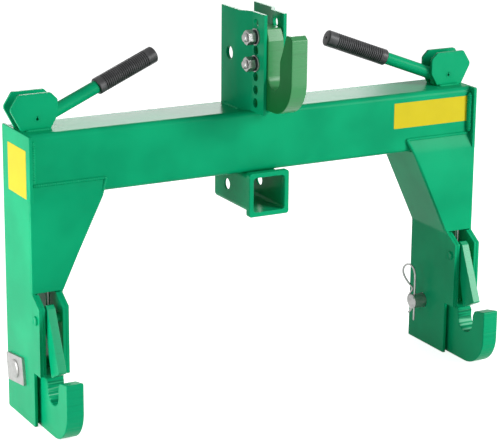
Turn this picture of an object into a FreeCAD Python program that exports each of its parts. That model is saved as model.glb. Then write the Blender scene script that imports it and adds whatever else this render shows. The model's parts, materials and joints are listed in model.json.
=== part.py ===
"""Three point quick hitch: a welded frame with three hooks, two spring latches and a receiver.

Frame of the model: X runs along the beam, Y from the hooks (implement side, -Y) to the
lift arms (tractor side, +Y), Z up from the floor. While the pieces are drawn, Y = 0 is the
front face of the beam; at the end everything moves so that the origin lies on the floor
under the middle of the whole hitch. Every size is in millimetres.
"""

import FreeCAD
import Part
import math
import os

from FreeCAD import Vector

# Beam
BEAM_HEIGHT = 90.6
BEAM_DEPTH = 83.2
BEAM_BOTTOM = 326.8
BEAM_WALL = 5.0
BEAM_RADIUS = 8.0
ROD_HOLE_D = 10.0

# Legs
HOOK_SPREAD = 683.0
HOOK_THICK = 25.4
EAR_THICK = 4.8
PLATE_THICK = 4.8
FRONT_PROUD = 10.1
BACK_PROUD = 6.0
FOLD_DROP = 2.8
FLANGE_RISE = 22.5
DIAGONAL_FOOT = 192.5
DIAGONAL_RUN = 63.1
EDGE_BREAK = 3.0
BEND_RADIUS = 6.0

# Ears, one each side of a lower hook
EAR_REACH = 22.4
EAR_FOOT = 0.0
EAR_STEP = 82.0
EAR_SHOULDER = 180.0
EAR_HEAD = 194.5
EAR_TONGUE = 10.0
WEB_GAP = 1.5
EAR_BACK = 14.0
EAR_SET_BACK = 12.1
HEAD_SET = 0.6

# Lower hooks
THROAT_WIDTH = 37.5
THROAT_CENTRE = -53.0
THROAT_FLOOR = 47.25
THROAT_LEAD = 4.0
PRONG_THICK = 30.2
PRONG_INNER = 86.0
PRONG_OUTER = 91.5
HOOK_ROUND = 48.0
HOOK_EDGE = 2.5

# Latches
LATCH_THICK = 12.0
LATCH_PIVOT_BACK = 12.5
LATCH_PIVOT_Z = 161.0
LATCH_PIN_D = 12.0
LATCH_NOSE = (-50.6, -63.8)
LATCH_HEEL = (-23.6, -78.0)
LATCH_BROW = (-14.0, 19.0)
LATCH_HEAD = (-7.0, 23.0)
LATCH_GAP = 1.5
LATCH_SWING = 30.0
LATCH_SHIFT = -4.5
LATCH_BACK = (-7.0, -17.0)
TAIL_ARM = 24.0
TAIL_DROP = 15.0
TAIL_ROUND = 8.0
TAIL_CORNER = 7.9
TAIL_HOLLOW = 4.0
NOSE_ROUND = 2.0
BACK_ROUND = 8.0
HEAD_ROUND = 4.0
BROW_ROUND = 3.0
NECK_ROUND = 6.0
TAIL_HOLE_D = 8.6
TAIL_PLAY = 0.4
RUNNING_GAP = 0.08

# Levers, their brackets and the pull rods
BRACKET_THICK = 4.6
BRACKET_GAP = 20.4
BRACKET_WIDTH = 70.0
BRACKET_OVERHANG = 11.6
BRACKET_HEIGHT = 50.8
BRACKET_FOOT_IN = 11.0
BRACKET_FOOT_OUT = 16.0
BRACKET_TOP_IN = 10.0
BRACKET_TOP_OUT = 13.0
BRACKET_CHAMFER = 18.6
BRACKET_ROUND = 4.0
BRACKET_CHEEK = 8.0
BRACKET_BELLY = 30.6
LEVER_PIVOT_IN = 30.4
LEVER_PIVOT_UP = 15.2
LEVER_PIN_D = 8.0
LEVER_PIN_BORE = 4.0
LEVER_PIN_SLIT = 1.2
LEVER_SWING = 60.0
LEVER_RISE = 20.7
LEVER_LEAN = 7.7
LEVER_ROOT = 24.0
LEVER_TIP = 202.0
LEVER_ROD_D = 18.5
CAM_THICK = 8.0
CAM_ROUND = 13.0
CAM_NECK = 17.0
CAM_BITE = 1.0
CAM_SHOULDER = 4.0
CAM_TOE_ROUND = 3.0
CAM_TOE_LEAD = 2.0
CAM_SIDE_GAP = 0.6
CRANK_HOLE_D = 8.3
CRANK_PLAY = 0.8
LEVER_DROP = 6.0
HANDLE_SET = 0.4
HANDLE_GAP = 0.5
HANDLE_FLAT = 18.0
TOE_GAP = 0.3
HUB_D = 17.0
HUB_GAP = 0.3
CRANK_DROP = 30.0
GRIP_LENGTH = 102.5
GRIP_D = 24.5
GRIP_END = 3.0
GRIP_CHAMFER = 1.5
GRIP_HOLE_D = 4.0
ROD_D = 6.0
ROD_BEND = 6.0
ROD_EASE = 20.0
ROD_SLANT_FROM = 215.0
ROD_SLANT_DROP = 26.8
ROD_SIDE_GAP = 0.8
ROD_TAIL = 1.0

# Return springs round the pull rods, inside the beam
COLLAR_RISE = 39.2
SPRING_WIRE = 1.8
SPRING_D = 16.0
SPRING_TURNS = 6
SPRING_STEPS = 12
WIRE_SIDES = 8
COLLAR_D = 16.0
COLLAR_THICK = 5.0
CROSS_PIN_D = 2.5

# Mast
MAST_THICK = 5.0
MAST_HEIGHT = 143.6
MAST_GAP = 48.0
MAST_FRONT = -34.0
JOGGLE_FRONT = 3.0
JOGGLE_BACK = 21.0
MAST_BACK = 74.0
LEVEL_PITCH = 19.05
LEVEL_COUNT = 7
LEVEL_FIRST = 14.0
LEVEL_HOLE_D = 13.5
LEVEL_Y = -10.0
TOP_LINK_D = 19.5
TOP_LINK_Y = 48.6
TOP_LINK_UP = 77.6

# Top hook and the bolts that hold it
TOP_HOOK_THICK = 25.4
TOP_HOOK_SIDE_GAP = 0.3
TOP_HOOK_BACK = 6.0
TOP_THROAT_WIDTH = 33.0
TOP_THROAT_CENTRE = -53.0
TOP_THROAT_DROP = 30.05
TOP_PRONG_THICK = 34.0
TOP_HOOK_FOOT = 64.05
TOP_HOOK_RISE = 52.45
TOP_HOOK_ROUND = 50.5
TOP_HOOK_BEVEL = (6.5, 17.0)
TOP_PRONG_TIP = 6.0
TOP_PRONG_FALL = 5.0
TOP_LEAD = (17.5, 40.0)
TOP_LEAD_ROUND = 6.0
LOWER_BOLT_LEVEL = 3
UPPER_BOLT_LEVEL = 5
BOLT_D = 12.7
BOLT_FLATS = 19.05
BOLT_HEAD = 7.5
BOLT_TAIL = 4.0
NUT_HEIGHT = 10.5
FLAT_WASHER_D = 24.0
FLAT_WASHER = 2.5
LOCK_WASHER_D = 21.0
LOCK_WASHER = 3.0
LOCK_SPLIT = 2.0

# Receiver under the middle of the beam
RECEIVER_BORE = 50.8
RECEIVER_WALL = 3.0
RECEIVER_RADIUS = 8.0
RECEIVER_FRONT = -12.0
RECEIVER_BACK = 94.0
RECEIVER_PIN_D = 16.0
RECEIVER_PIN_Y = 55.0
COLLAR_LIP = 4.0
COLLAR_DEPTH = 10.0
COLLAR_ROUND = 4.0

# Lift arm pins and their clips
LIFT_PIN_D = 22.2
LIFT_PIN_GAP = 0.4
LIFT_PIN_Y = 52.0
LIFT_PIN_Z = 68.5
LIFT_PIN_STUB = 21.3
LIFT_HEAD_LONG = 60.0
LIFT_HEAD_TALL = 40.0
LIFT_HEAD_THICK = 4.0
LIFT_HEAD_TILT = 8.0
LIFT_BOSS_D = 27.0
LIFT_BOSS = 2.4
LIFT_CHAMFER = 1.5
CLIP_WIRE = 3.2
CLIP_HOLE_D = 4.2
CLIP_INSET = 6.4
CLIP_BELOW = 28.0
CLIP_ABOVE = 50.0
CLIP_LOOP = 10.5
CLIP_BEND = 10.4
CLIP_WAIST = 12.6
CLIP_BULGE = 15.5
CLIP_FLARE = 17.0
CLIP_TURN = 45.0
CLIP_LEG = 19.0
CLIP_CREST = 2.0

# Places that follow from the sizes above
BEAM_TOP = BEAM_BOTTOM + BEAM_HEIGHT
BEAM_MIDDLE = BEAM_DEPTH / 2
WEB_FOLD = BEAM_BOTTOM - FOLD_DROP
COLLAR_Z = BEAM_BOTTOM + COLLAR_RISE
ROD_SLANT = (ROD_SLANT_FROM, BEAM_BOTTOM - ROD_SLANT_DROP)
HOOK_X = HOOK_SPREAD / 2
HOOK_IN = HOOK_X - HOOK_THICK / 2
HOOK_OUT = HOOK_X + HOOK_THICK / 2
EAR_IN = HOOK_IN - EAR_THICK
EAR_OUT = HOOK_OUT + EAR_THICK
LEG_IN = EAR_IN - PLATE_THICK
LEG_OUT = EAR_OUT + PLATE_THICK
LEG_FRONT = -FRONT_PROUD
LEG_BACK = BEAM_DEPTH + BACK_PROUD
DIAGONAL_SLOPE = DIAGONAL_RUN / (BEAM_BOTTOM - DIAGONAL_FOOT)
EAR_FRONT = LEG_FRONT - EAR_REACH
LATCH_PIVOT_Y = EAR_FRONT + LATCH_PIVOT_BACK
WEB_BOTTOM = EAR_HEAD + WEB_GAP
EAR_TOP = WEB_BOTTOM + EAR_TONGUE
LATCH_REACH = max(math.hypot(*LATCH_NOSE), math.hypot(*LATCH_HEEL))
HOOK_SHELF = LATCH_PIVOT_Z - LATCH_REACH - LATCH_GAP
PRONG_FRONT = THROAT_CENTRE - THROAT_WIDTH / 2 - PRONG_THICK
BRACKET_IN = LEG_OUT + BRACKET_OVERHANG - BRACKET_WIDTH
LEVER_X = BRACKET_IN + LEVER_PIVOT_IN
LEVER_Z = BEAM_TOP + LEVER_PIVOT_UP
TAIL_LIFT = TAIL_ARM * (
    math.sin(math.radians(LATCH_SWING - TAIL_DROP)) + math.sin(math.radians(TAIL_DROP))
)
CRANK_ARM = TAIL_LIFT / (
    math.sin(math.radians(LEVER_SWING - CRANK_DROP)) + math.sin(math.radians(CRANK_DROP))
)
CAM_FRONT = BEAM_MIDDLE - BRACKET_GAP / 2 + CAM_SIDE_GAP
CAM_BACK = CAM_FRONT + CAM_THICK
ROD_Y = CAM_BACK + ROD_SIDE_GAP + ROD_D / 2
CRANK_IN = CRANK_ARM * math.cos(math.radians(CRANK_DROP))
CRANK_Z = LEVER_Z - CRANK_ARM * math.sin(math.radians(CRANK_DROP))
ROD_X = LEVER_X - CRANK_IN - CRANK_PLAY
TAIL_Y = LATCH_PIVOT_Y + TAIL_ARM * math.cos(math.radians(TAIL_DROP))
TAIL_Z = LATCH_PIVOT_Z - TAIL_ARM * math.sin(math.radians(TAIL_DROP))
MAST_FRONT_HALF = TOP_HOOK_THICK / 2 + TOP_HOOK_SIDE_GAP
MAST_BACK_HALF = MAST_GAP / 2
MAST_TOP = BEAM_TOP + MAST_HEIGHT
LOWER_BOLT_Z = BEAM_TOP + LEVEL_FIRST + LOWER_BOLT_LEVEL * LEVEL_PITCH
UPPER_BOLT_Z = BEAM_TOP + LEVEL_FIRST + UPPER_BOLT_LEVEL * LEVEL_PITCH
TOP_PRONG_FRONT = TOP_THROAT_CENTRE - TOP_THROAT_WIDTH / 2 - TOP_PRONG_THICK
RECEIVER_OUTER = RECEIVER_BORE + 2 * RECEIVER_WALL
RECEIVER_Z = BEAM_BOTTOM - RECEIVER_OUTER / 2
COLLAR_OUTER = RECEIVER_OUTER + 2 * COLLAR_LIP
LIFT_PIN_END = LEG_IN - LIFT_PIN_STUB
CLIP_X = LIFT_PIN_END + CLIP_INSET
WHOLE_FRONT = min(TOP_PRONG_FRONT, PRONG_FRONT)
WHOLE_BACK = max(RECEIVER_BACK, LEG_BACK)
ORIGIN_Y = (WHOLE_FRONT + WHOLE_BACK) / 2

SIDES = {"left": -1, "right": 1}
X_AXIS = Vector(1, 0, 0)
Y_AXIS = Vector(0, 1, 0)
Z_AXIS = Vector(0, 0, 1)
SAME_POINT = 1e-6


# Small helpers for outlines, rods and plates


def on_yz(a, b):
    """A point of an outline drawn in the YZ plane."""
    return Vector(0, a, b)


def on_xz(a, b):
    """A point of an outline drawn in the XZ plane."""
    return Vector(a, 0, b)


def on_xy(a, b):
    """A point of an outline drawn in the XY plane."""
    return Vector(a, b, 0)


def outline(corners, plane):
    """A face with the given corners (a, b, radius), each rounded by its radius."""
    points = [plane(a, b) for a, b, _ in corners]
    radii = [radius for _, _, radius in corners]
    starts, middles, ends = [], [], []
    for i, point in enumerate(points):
        back = (points[i - 1] - point).normalize()
        ahead = (points[(i + 1) % len(points)] - point).normalize()
        if radii[i] == 0:
            starts.append(point)
            middles.append(None)
            ends.append(point)
            continue
        half = back.getAngle(ahead) / 2
        inwards = (back + ahead).normalize()
        centre = point + inwards * (radii[i] / math.sin(half))
        starts.append(point + back * (radii[i] / math.tan(half)))
        middles.append(centre - inwards * radii[i])
        ends.append(point + ahead * (radii[i] / math.tan(half)))
    edges = []
    for i in range(len(points)):
        if middles[i] is not None:
            edges.append(Part.Arc(starts[i], middles[i], ends[i]).toShape())
        following = starts[(i + 1) % len(points)]
        if ends[i].distanceToPoint(following) > SAME_POINT:
            edges.append(Part.LineSegment(ends[i], following).toShape())
    return Part.Face(Part.Wire(edges))


def sharp(points):
    """The same points with no rounding."""
    return [(a, b, 0) for a, b in points]


def plate_x(corners, x0, x1):
    """A plate of the given YZ outline between two X places."""
    face = outline(corners, on_yz)
    face.translate(Vector(min(x0, x1), 0, 0))
    return face.extrude(X_AXIS * abs(x1 - x0))


def plate_y(corners, y0, y1):
    """A plate of the given XZ outline between two Y places."""
    face = outline(corners, on_xz)
    face.translate(Vector(0, min(y0, y1), 0))
    return face.extrude(Y_AXIS * abs(y1 - y0))


def column(corners, z0, z1):
    """A column of the given XY outline between two heights."""
    face = outline(corners, on_xy)
    face.translate(Vector(0, 0, z0))
    return face.extrude(Z_AXIS * (z1 - z0))


def box(x0, x1, y0, y1, z0, z1):
    """A block between two corners, given in any order along X."""
    low = Vector(min(x0, x1), y0, z0)
    return Part.makeBox(abs(x1 - x0), y1 - y0, z1 - z0, low)


def rod_x(x0, x1, y, z, diameter):
    """A round bar along X."""
    return Part.makeCylinder(diameter / 2, abs(x1 - x0), Vector(min(x0, x1), y, z), X_AXIS)


def rod_y(y0, y1, x, z, diameter):
    """A round bar along Y."""
    return Part.makeCylinder(diameter / 2, abs(y1 - y0), Vector(x, min(y0, y1), z), Y_AXIS)


def bent_rod(corners, diameter):
    """A round rod along straight runs, with an arc of its own radius at each (point, radius)."""
    edges = []
    start = corners[0][0]
    for (before, _), (corner, radius), (after, _) in zip(corners, corners[1:], corners[2:]):
        back = (before - corner).normalize()
        ahead = (after - corner).normalize()
        half = back.getAngle(ahead) / 2
        inwards = (back + ahead).normalize()
        enter = corner + back * (radius / math.tan(half))
        leave = corner + ahead * (radius / math.tan(half))
        middle = corner + inwards * (radius / math.sin(half) - radius)
        if start.distanceToPoint(enter) > SAME_POINT:
            edges.append(Part.LineSegment(start, enter).toShape())
        edges.append(Part.Arc(enter, middle, leave).toShape())
        start = leave
    edges.append(Part.LineSegment(start, corners[-1][0]).toShape())
    first = corners[0][0]
    heading = corners[1][0] - first
    profile = Part.Face(Part.Wire(Part.Circle(first, heading, diameter / 2).toShape()))
    return Part.Wire(edges).makePipe(profile)


def wire_along(points, diameter):
    """A thin wire of many flat sides along straight steps between the given points."""
    heading = (points[1] - points[0]).normalize()
    across = heading.cross(Z_AXIS).normalize()
    up = heading.cross(across)
    corners = []
    for step in range(WIRE_SIDES + 1):
        angle = math.radians(360 * step / WIRE_SIDES)
        out = across * math.cos(angle) + up * math.sin(angle)
        corners.append(points[0] + out * (diameter / 2))
    section = Part.makePolygon(corners)
    return Part.makePolygon(points).makePipeShell([section], True, False, 1)


def mirrored(shape):
    """The same piece for the other side of the hitch."""
    return shape.mirror(Vector(0, 0, 0), X_AXIS)


def hexagon(flats, x0, x1, y, z):
    """A hexagon bar along X, as a bolt head or a nut."""
    corner = flats / math.sqrt(3)
    points = []
    for step in range(6):
        angle = math.radians(60 * step + 30)
        points.append((y + corner * math.cos(angle), z + corner * math.sin(angle)))
    return plate_x(sharp(points), x0, x1)


def latch_centre(side):
    """X of the middle of a latch, which sits off the middle of its hook."""
    return SIDES[side] * HOOK_X + LATCH_SHIFT


# Welded frame


def main_beam():
    """The rectangular tube between the end plates, drilled for the two pull rods."""
    def section(inset, radius, half_length):
        low, high = inset, BEAM_DEPTH - inset
        bottom, top = BEAM_BOTTOM + inset, BEAM_TOP - inset
        corners = [(low, bottom, radius), (high, bottom, radius)]
        corners += [(high, top, radius), (low, top, radius)]
        return plate_x(corners, -half_length, half_length)

    inner_radius = BEAM_RADIUS - BEAM_WALL
    tube = section(0, BEAM_RADIUS, EAR_OUT).cut(section(BEAM_WALL, inner_radius, LEG_OUT))
    holes = []
    for sign in SIDES.values():
        base = Vector(sign * ROD_X, ROD_Y, BEAM_BOTTOM - 1)
        holes.append(Part.makeCylinder(ROD_HOLE_D / 2, BEAM_HEIGHT + 2, base, Z_AXIS))
    return tube.cut(holes)


def pin_hole(x0, x1):
    """The hole for a lift arm pin through a side plate."""
    return rod_x(x0 - 1, x1 + 1, LIFT_PIN_Y, LIFT_PIN_Z, LIFT_PIN_D + 2 * LIFT_PIN_GAP)


def end_plate():
    """The outer plate of the right leg, from the floor to the top of the beam."""
    corners = [
        (LEG_FRONT, 0, EDGE_BREAK),
        (LEG_BACK, 0, EDGE_BREAK),
        (LEG_BACK, BEAM_TOP, EDGE_BREAK),
        (LEG_FRONT, BEAM_TOP, EDGE_BREAK),
    ]
    return plate_x(corners, EAR_OUT, LEG_OUT).cut([front_plate(), pin_hole(EAR_OUT, LEG_OUT)])


def diagonal_x(z):
    """X of the inner face of the right leg's side plate at a height above its bend."""
    return LEG_IN - (z - DIAGONAL_FOOT) * DIAGONAL_SLOPE


def front_plate():
    """The front plate of the right leg, with its upper edge folded back onto the beam."""
    flange_top = WEB_FOLD + FLANGE_RISE
    fold = math.atan2(FRONT_PROUD, FLANGE_RISE)
    behind = PLATE_THICK / math.sin(fold)
    bend = PLATE_THICK * math.tan(fold / 2)
    section = sharp([
        (LEG_FRONT, WEB_BOTTOM),
        (LEG_FRONT + PLATE_THICK, WEB_BOTTOM),
        (LEG_FRONT + PLATE_THICK, WEB_FOLD - bend),
        (0, flange_top - behind),
        (0, flange_top),
        (LEG_FRONT, WEB_FOLD),
    ])
    sheet = plate_x(section, diagonal_x(flange_top), LEG_OUT)
    trim = sharp([
        (diagonal_x(WEB_BOTTOM), WEB_BOTTOM),
        (LEG_OUT, WEB_BOTTOM),
        (LEG_OUT, flange_top),
        (diagonal_x(flange_top), flange_top),
    ])
    return sheet.common(plate_y(trim, LEG_FRONT, LEG_FRONT + FRONT_PROUD))


def inner_plate():
    """The inner side plate of the right leg, bent inwards to meet the beam's bottom."""
    angle = math.atan(DIAGONAL_SLOPE)
    across = PLATE_THICK / math.cos(angle)
    bend = PLATE_THICK * math.tan(angle / 2)
    side = plate_y([
        (LEG_IN, 0, 0),
        (LEG_IN + PLATE_THICK, 0, 0),
        (LEG_IN + PLATE_THICK, DIAGONAL_FOOT + bend, BEND_RADIUS),
        (diagonal_x(BEAM_BOTTOM) + across, BEAM_BOTTOM, 0),
        (diagonal_x(BEAM_BOTTOM), BEAM_BOTTOM, 0),
        (LEG_IN, DIAGONAL_FOOT, BEND_RADIUS + PLATE_THICK),
    ], LEG_FRONT, LEG_BACK)
    behind_web = LEG_FRONT + PLATE_THICK
    rebate = box(0, EAR_OUT, LEG_FRONT - 1, behind_web, WEB_BOTTOM, BEAM_BOTTOM + 1)
    return side.cut([rebate, front_plate(), pin_hole(LEG_IN, LEG_IN + PLATE_THICK)])


def ear(x0, x1):
    """A plate beside a lower hook that also carries the latch pin."""
    web_back = LEG_FRONT + PLATE_THICK
    corners = [
        (EAR_BACK, EAR_FOOT, EDGE_BREAK),
        (LEG_FRONT + EAR_SET_BACK, EAR_FOOT, EDGE_BREAK),
        (LEG_FRONT + EAR_SET_BACK, EAR_STEP, 0),
        (EAR_FRONT, EAR_STEP, EDGE_BREAK),
        (EAR_FRONT, EAR_SHOULDER, EDGE_BREAK),
        (LEG_FRONT + HEAD_SET, EAR_HEAD, 0),
        (web_back, EAR_HEAD, 0),
        (web_back, EAR_TOP, 0),
        (EAR_BACK, EAR_TOP, EDGE_BREAK),
    ]
    plate = plate_x(corners, x0, x1)
    return plate.cut(rod_x(x0 - 1, x1 + 1, LATCH_PIVOT_Y, LATCH_PIVOT_Z, LATCH_PIN_D))


def lower_hook():
    """The flame cut J plate that takes the implement's lower pin."""
    back_wall = THROAT_CENTRE + THROAT_WIDTH / 2
    front_wall = THROAT_CENTRE - THROAT_WIDTH / 2
    corners = [
        (EAR_BACK, 0, EDGE_BREAK),
        (PRONG_FRONT, 0, HOOK_ROUND),
        (PRONG_FRONT, PRONG_OUTER, HOOK_EDGE),
        (front_wall - THROAT_LEAD, PRONG_INNER, HOOK_EDGE),
        (front_wall, PRONG_INNER - 2 * THROAT_LEAD, HOOK_EDGE),
        (front_wall, THROAT_FLOOR, THROAT_WIDTH / 2),
        (back_wall, THROAT_FLOOR, THROAT_WIDTH / 2),
        (back_wall, HOOK_SHELF - THROAT_LEAD, HOOK_EDGE),
        (back_wall + THROAT_LEAD, HOOK_SHELF, HOOK_EDGE),
        (EAR_BACK, HOOK_SHELF, EDGE_BREAK),
    ]
    return plate_x(corners, HOOK_IN, HOOK_OUT)


# Latches, levers and pull rods


def latch(side):
    """The slanted tongue over a lower hook, with a tail that the pull rod lifts."""
    tail_y = TAIL_Y - LATCH_PIVOT_Y - TAIL_PLAY
    tail_z = TAIL_Z - LATCH_PIVOT_Z
    corners = [
        (*LATCH_NOSE, NOSE_ROUND),
        (*LATCH_HEEL, NOSE_ROUND),
        (*LATCH_BACK, BACK_ROUND),
        (tail_y - TAIL_ROUND, tail_z - TAIL_ROUND, TAIL_HOLLOW),
        (tail_y + TAIL_ROUND, tail_z - TAIL_ROUND, TAIL_CORNER),
        (tail_y + TAIL_ROUND, tail_z + TAIL_ROUND, TAIL_CORNER),
        (-LATCH_HEAD[0], LATCH_HEAD[1] - TAIL_ROUND, NECK_ROUND),
        (*LATCH_HEAD, HEAD_ROUND),
        (*LATCH_BROW, BROW_ROUND),
    ]
    moved = [(LATCH_PIVOT_Y + a, LATCH_PIVOT_Z + b, radius) for a, b, radius in corners]
    x0 = latch_centre(side) - LATCH_THICK / 2
    x1 = latch_centre(side) + LATCH_THICK / 2
    blade = plate_x(moved, x0, x1)
    bore = LATCH_PIN_D + 2 * RUNNING_GAP
    holes = [
        rod_x(x0 - 1, x1 + 1, LATCH_PIVOT_Y, LATCH_PIVOT_Z, bore),
        rod_x(x0 - 1, x1 + 1, TAIL_Y - TAIL_PLAY, TAIL_Z, TAIL_HOLE_D),
    ]
    return blade.cut(holes)


def latch_pin():
    """The painted pin through both ears of the right leg."""
    return rod_x(EAR_IN, EAR_OUT, LATCH_PIVOT_Y, LATCH_PIVOT_Z, LATCH_PIN_D)


def bracket_plate(y0):
    """One of the two plates that carry the lever of the right side."""
    outer = BRACKET_IN + BRACKET_WIDTH
    top = BEAM_TOP + BRACKET_HEIGHT
    corners = [
        (BRACKET_IN + BRACKET_FOOT_IN, BEAM_TOP, 0),
        (outer - BRACKET_FOOT_OUT, BEAM_TOP, 0),
        (outer, BEAM_TOP + BRACKET_BELLY, BRACKET_CHEEK),
        (outer - BRACKET_TOP_OUT, top, BRACKET_ROUND),
        (BRACKET_IN + BRACKET_TOP_IN, top, BRACKET_ROUND),
        (BRACKET_IN, top - BRACKET_TOP_IN, BRACKET_ROUND),
        (BRACKET_IN, BEAM_TOP + BRACKET_CHAMFER, BRACKET_ROUND),
    ]
    plate = plate_y(corners, y0, y0 + BRACKET_THICK)
    return plate.cut(rod_y(y0 - 1, y0 + BRACKET_THICK + 1, LEVER_X, LEVER_Z, LEVER_PIN_D))


def handle_line():
    """Start and unit direction of the right handle, and its length to the tip."""
    rise = math.radians(LEVER_RISE)
    lean = math.radians(LEVER_LEAN)
    along = Vector(-math.cos(rise), 0, math.sin(rise))
    upwards = Vector(math.sin(rise), 0, math.cos(rise))
    pivot = Vector(LEVER_X, BEAM_MIDDLE - HANDLE_SET, LEVER_Z)
    root = pivot + along * LEVER_ROOT - upwards * LEVER_DROP
    axis = along * math.cos(lean) + Y_AXIS * math.sin(lean)
    return root, axis, (LEVER_TIP - LEVER_ROOT) / math.cos(lean)


def beside_handle(distance, height):
    """X and Z of a point that far along the right lever and that high over its pivot line."""
    rise = math.radians(LEVER_RISE)
    x = LEVER_X - distance * math.cos(rise) + height * math.sin(rise)
    return x, LEVER_Z + distance * math.sin(rise) + height * math.cos(rise)


def lever_cam():
    """Hub and cam plate of the right lever."""
    low = -LEVER_DROP - CAM_NECK / 2
    high = -LEVER_DROP + CAM_NECK / 2
    reach = LEVER_ROOT + CAM_BITE
    bar = plate_y(sharp([
        beside_handle(0, low),
        beside_handle(reach, low),
        beside_handle(reach, high),
        beside_handle(0, high + CAM_SHOULDER),
    ]), CAM_FRONT, CAM_BACK)
    floor = BEAM_TOP + TOE_GAP
    toe = plate_y([
        (LEVER_X, LEVER_Z, 0),
        (LEVER_X, floor + CAM_TOE_LEAD, 0),
        (LEVER_X - CRANK_IN / 2, floor, 0),
        (LEVER_X - CRANK_IN - CAM_ROUND, floor, CAM_TOE_ROUND),
        (LEVER_X - LEVER_ROOT, LEVER_Z, 0),
    ], CAM_FRONT, CAM_BACK)
    hub_half = BRACKET_GAP / 2 - HUB_GAP
    hub = rod_y(BEAM_MIDDLE - hub_half, BEAM_MIDDLE + hub_half, LEVER_X, LEVER_Z, HUB_D)
    cheek = rod_y(CAM_FRONT, CAM_BACK, LEVER_X, LEVER_Z, 2 * CAM_ROUND)
    body = cheek.fuse([bar, toe, hub]).removeSplitter()
    root, axis, length = handle_line()
    bore = LEVER_PIN_D + 2 * RUNNING_GAP
    crank_x = LEVER_X - CRANK_IN
    return body.cut([
        Part.makeCylinder(LEVER_ROD_D / 2, length, root, axis),
        rod_y(CAM_FRONT - BRACKET_GAP, CAM_BACK + BRACKET_GAP, LEVER_X, LEVER_Z, bore),
        rod_y(CAM_FRONT - 1, CAM_BACK + 1, crank_x, CRANK_Z, CRANK_HOLE_D),
    ])


def lever_rod():
    """The leaning round handle of the right lever, ground flat between its bracket plates."""
    root, axis, length = handle_line()
    handle = Part.makeCylinder(LEVER_ROD_D / 2, length, root, axis)
    half = BRACKET_GAP / 2 - HANDLE_GAP
    beside = sharp([
        beside_handle(0, -LEVER_ROD_D),
        beside_handle(LEVER_ROOT + HANDLE_FLAT, -LEVER_ROD_D),
        beside_handle(LEVER_ROOT + HANDLE_FLAT, LEVER_ROD_D),
        beside_handle(0, LEVER_ROD_D),
    ])
    front = plate_y(beside, BEAM_MIDDLE - LEVER_ROD_D, BEAM_MIDDLE - half)
    back = plate_y(beside, BEAM_MIDDLE + half, BEAM_MIDDLE + LEVER_ROD_D)
    return handle.cut([front, back])


def lever_grip():
    """The rubber sleeve over the end of the right handle, closed at its tip."""
    root, axis, length = handle_line()
    start = length + GRIP_END - GRIP_LENGTH
    sleeve = Part.makeCylinder(GRIP_D / 2, GRIP_LENGTH, root + axis * start, axis)
    sleeve = sleeve.makeChamfer(GRIP_CHAMFER, [sleeve.Edges[0], sleeve.Edges[2]])
    sleeve = sleeve.cut(Part.makeCylinder(LEVER_ROD_D / 2, length, root, axis))
    hole = Part.makeCylinder(GRIP_HOLE_D / 2, 2 * GRIP_END, root + axis * length, axis)
    return sleeve.cut(hole)


def lever_pin():
    """The slit spring pin that the right lever turns on."""
    half = BRACKET_GAP / 2 + BRACKET_THICK
    y0, y1 = BEAM_MIDDLE - half, BEAM_MIDDLE + half
    pin = rod_y(y0, y1, LEVER_X, LEVER_Z, LEVER_PIN_D)
    pin = pin.cut(rod_y(y0 - 1, y1 + 1, LEVER_X, LEVER_Z, LEVER_PIN_BORE))
    slit = LEVER_PIN_SLIT / 2
    above = LEVER_Z + LEVER_PIN_D
    return pin.cut(box(LEVER_X - slit, LEVER_X + slit, y0 - 1, y1 + 1, LEVER_Z, above))


def collar_pin(side):
    """The small pin that fixes the collar to the pull rod."""
    x = SIDES[side] * ROD_X
    half = COLLAR_D / 2
    return rod_x(x - half, x + half, ROD_Y, COLLAR_Z + COLLAR_THICK / 2, CROSS_PIN_D)


def pull_rod(side):
    """The bent rod from the lever's crank hole down to the latch's tail."""
    x = SIDES[side] * ROD_X
    side_x = latch_centre(side) + LATCH_THICK / 2 + ROD_SIDE_GAP + ROD_D / 2
    end_x = latch_centre(side) - LATCH_THICK / 2 - ROD_TAIL
    low, high = ROD_SLANT
    rod = bent_rod([
        (Vector(x, CAM_FRONT, CRANK_Z), 0),
        (Vector(x, ROD_Y, CRANK_Z), ROD_BEND),
        (Vector(x, ROD_Y, high), ROD_EASE),
        (Vector(side_x, TAIL_Y, low), ROD_EASE),
        (Vector(side_x, TAIL_Y, TAIL_Z), ROD_BEND),
        (Vector(end_x, TAIL_Y, TAIL_Z), 0),
    ], ROD_D)
    return rod.cut(collar_pin(side))


def spring_collar(side):
    """Pinned collar on the rod that the spring pushes down."""
    base = Vector(SIDES[side] * ROD_X, ROD_Y, COLLAR_Z)
    ring = Part.makeCylinder(COLLAR_D / 2, COLLAR_THICK, base, Z_AXIS)
    ring = ring.cut(Part.makeCylinder(ROD_D / 2, COLLAR_THICK, base, Z_AXIS))
    pin = collar_pin(side)
    return Part.makeCompound([ring.cut(pin), pin])


def return_spring(side):
    """The compression spring from collar to beam, as a helix of short straight steps."""
    radius = (SPRING_D - SPRING_WIRE) / 2
    foot = COLLAR_Z + COLLAR_THICK + SPRING_WIRE / 2
    height = BEAM_TOP - BEAM_WALL - SPRING_WIRE / 2 - foot
    steps = SPRING_TURNS * SPRING_STEPS
    centre = Vector(SIDES[side] * ROD_X, ROD_Y, foot)
    points = []
    for step in range(steps + 1):
        angle = math.radians(360 * step / SPRING_STEPS)
        around = Vector(radius * math.cos(angle), radius * math.sin(angle), height * step / steps)
        points.append(centre + around)
    return wire_along(points, SPRING_WIRE)


# Mast and top hook


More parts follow.
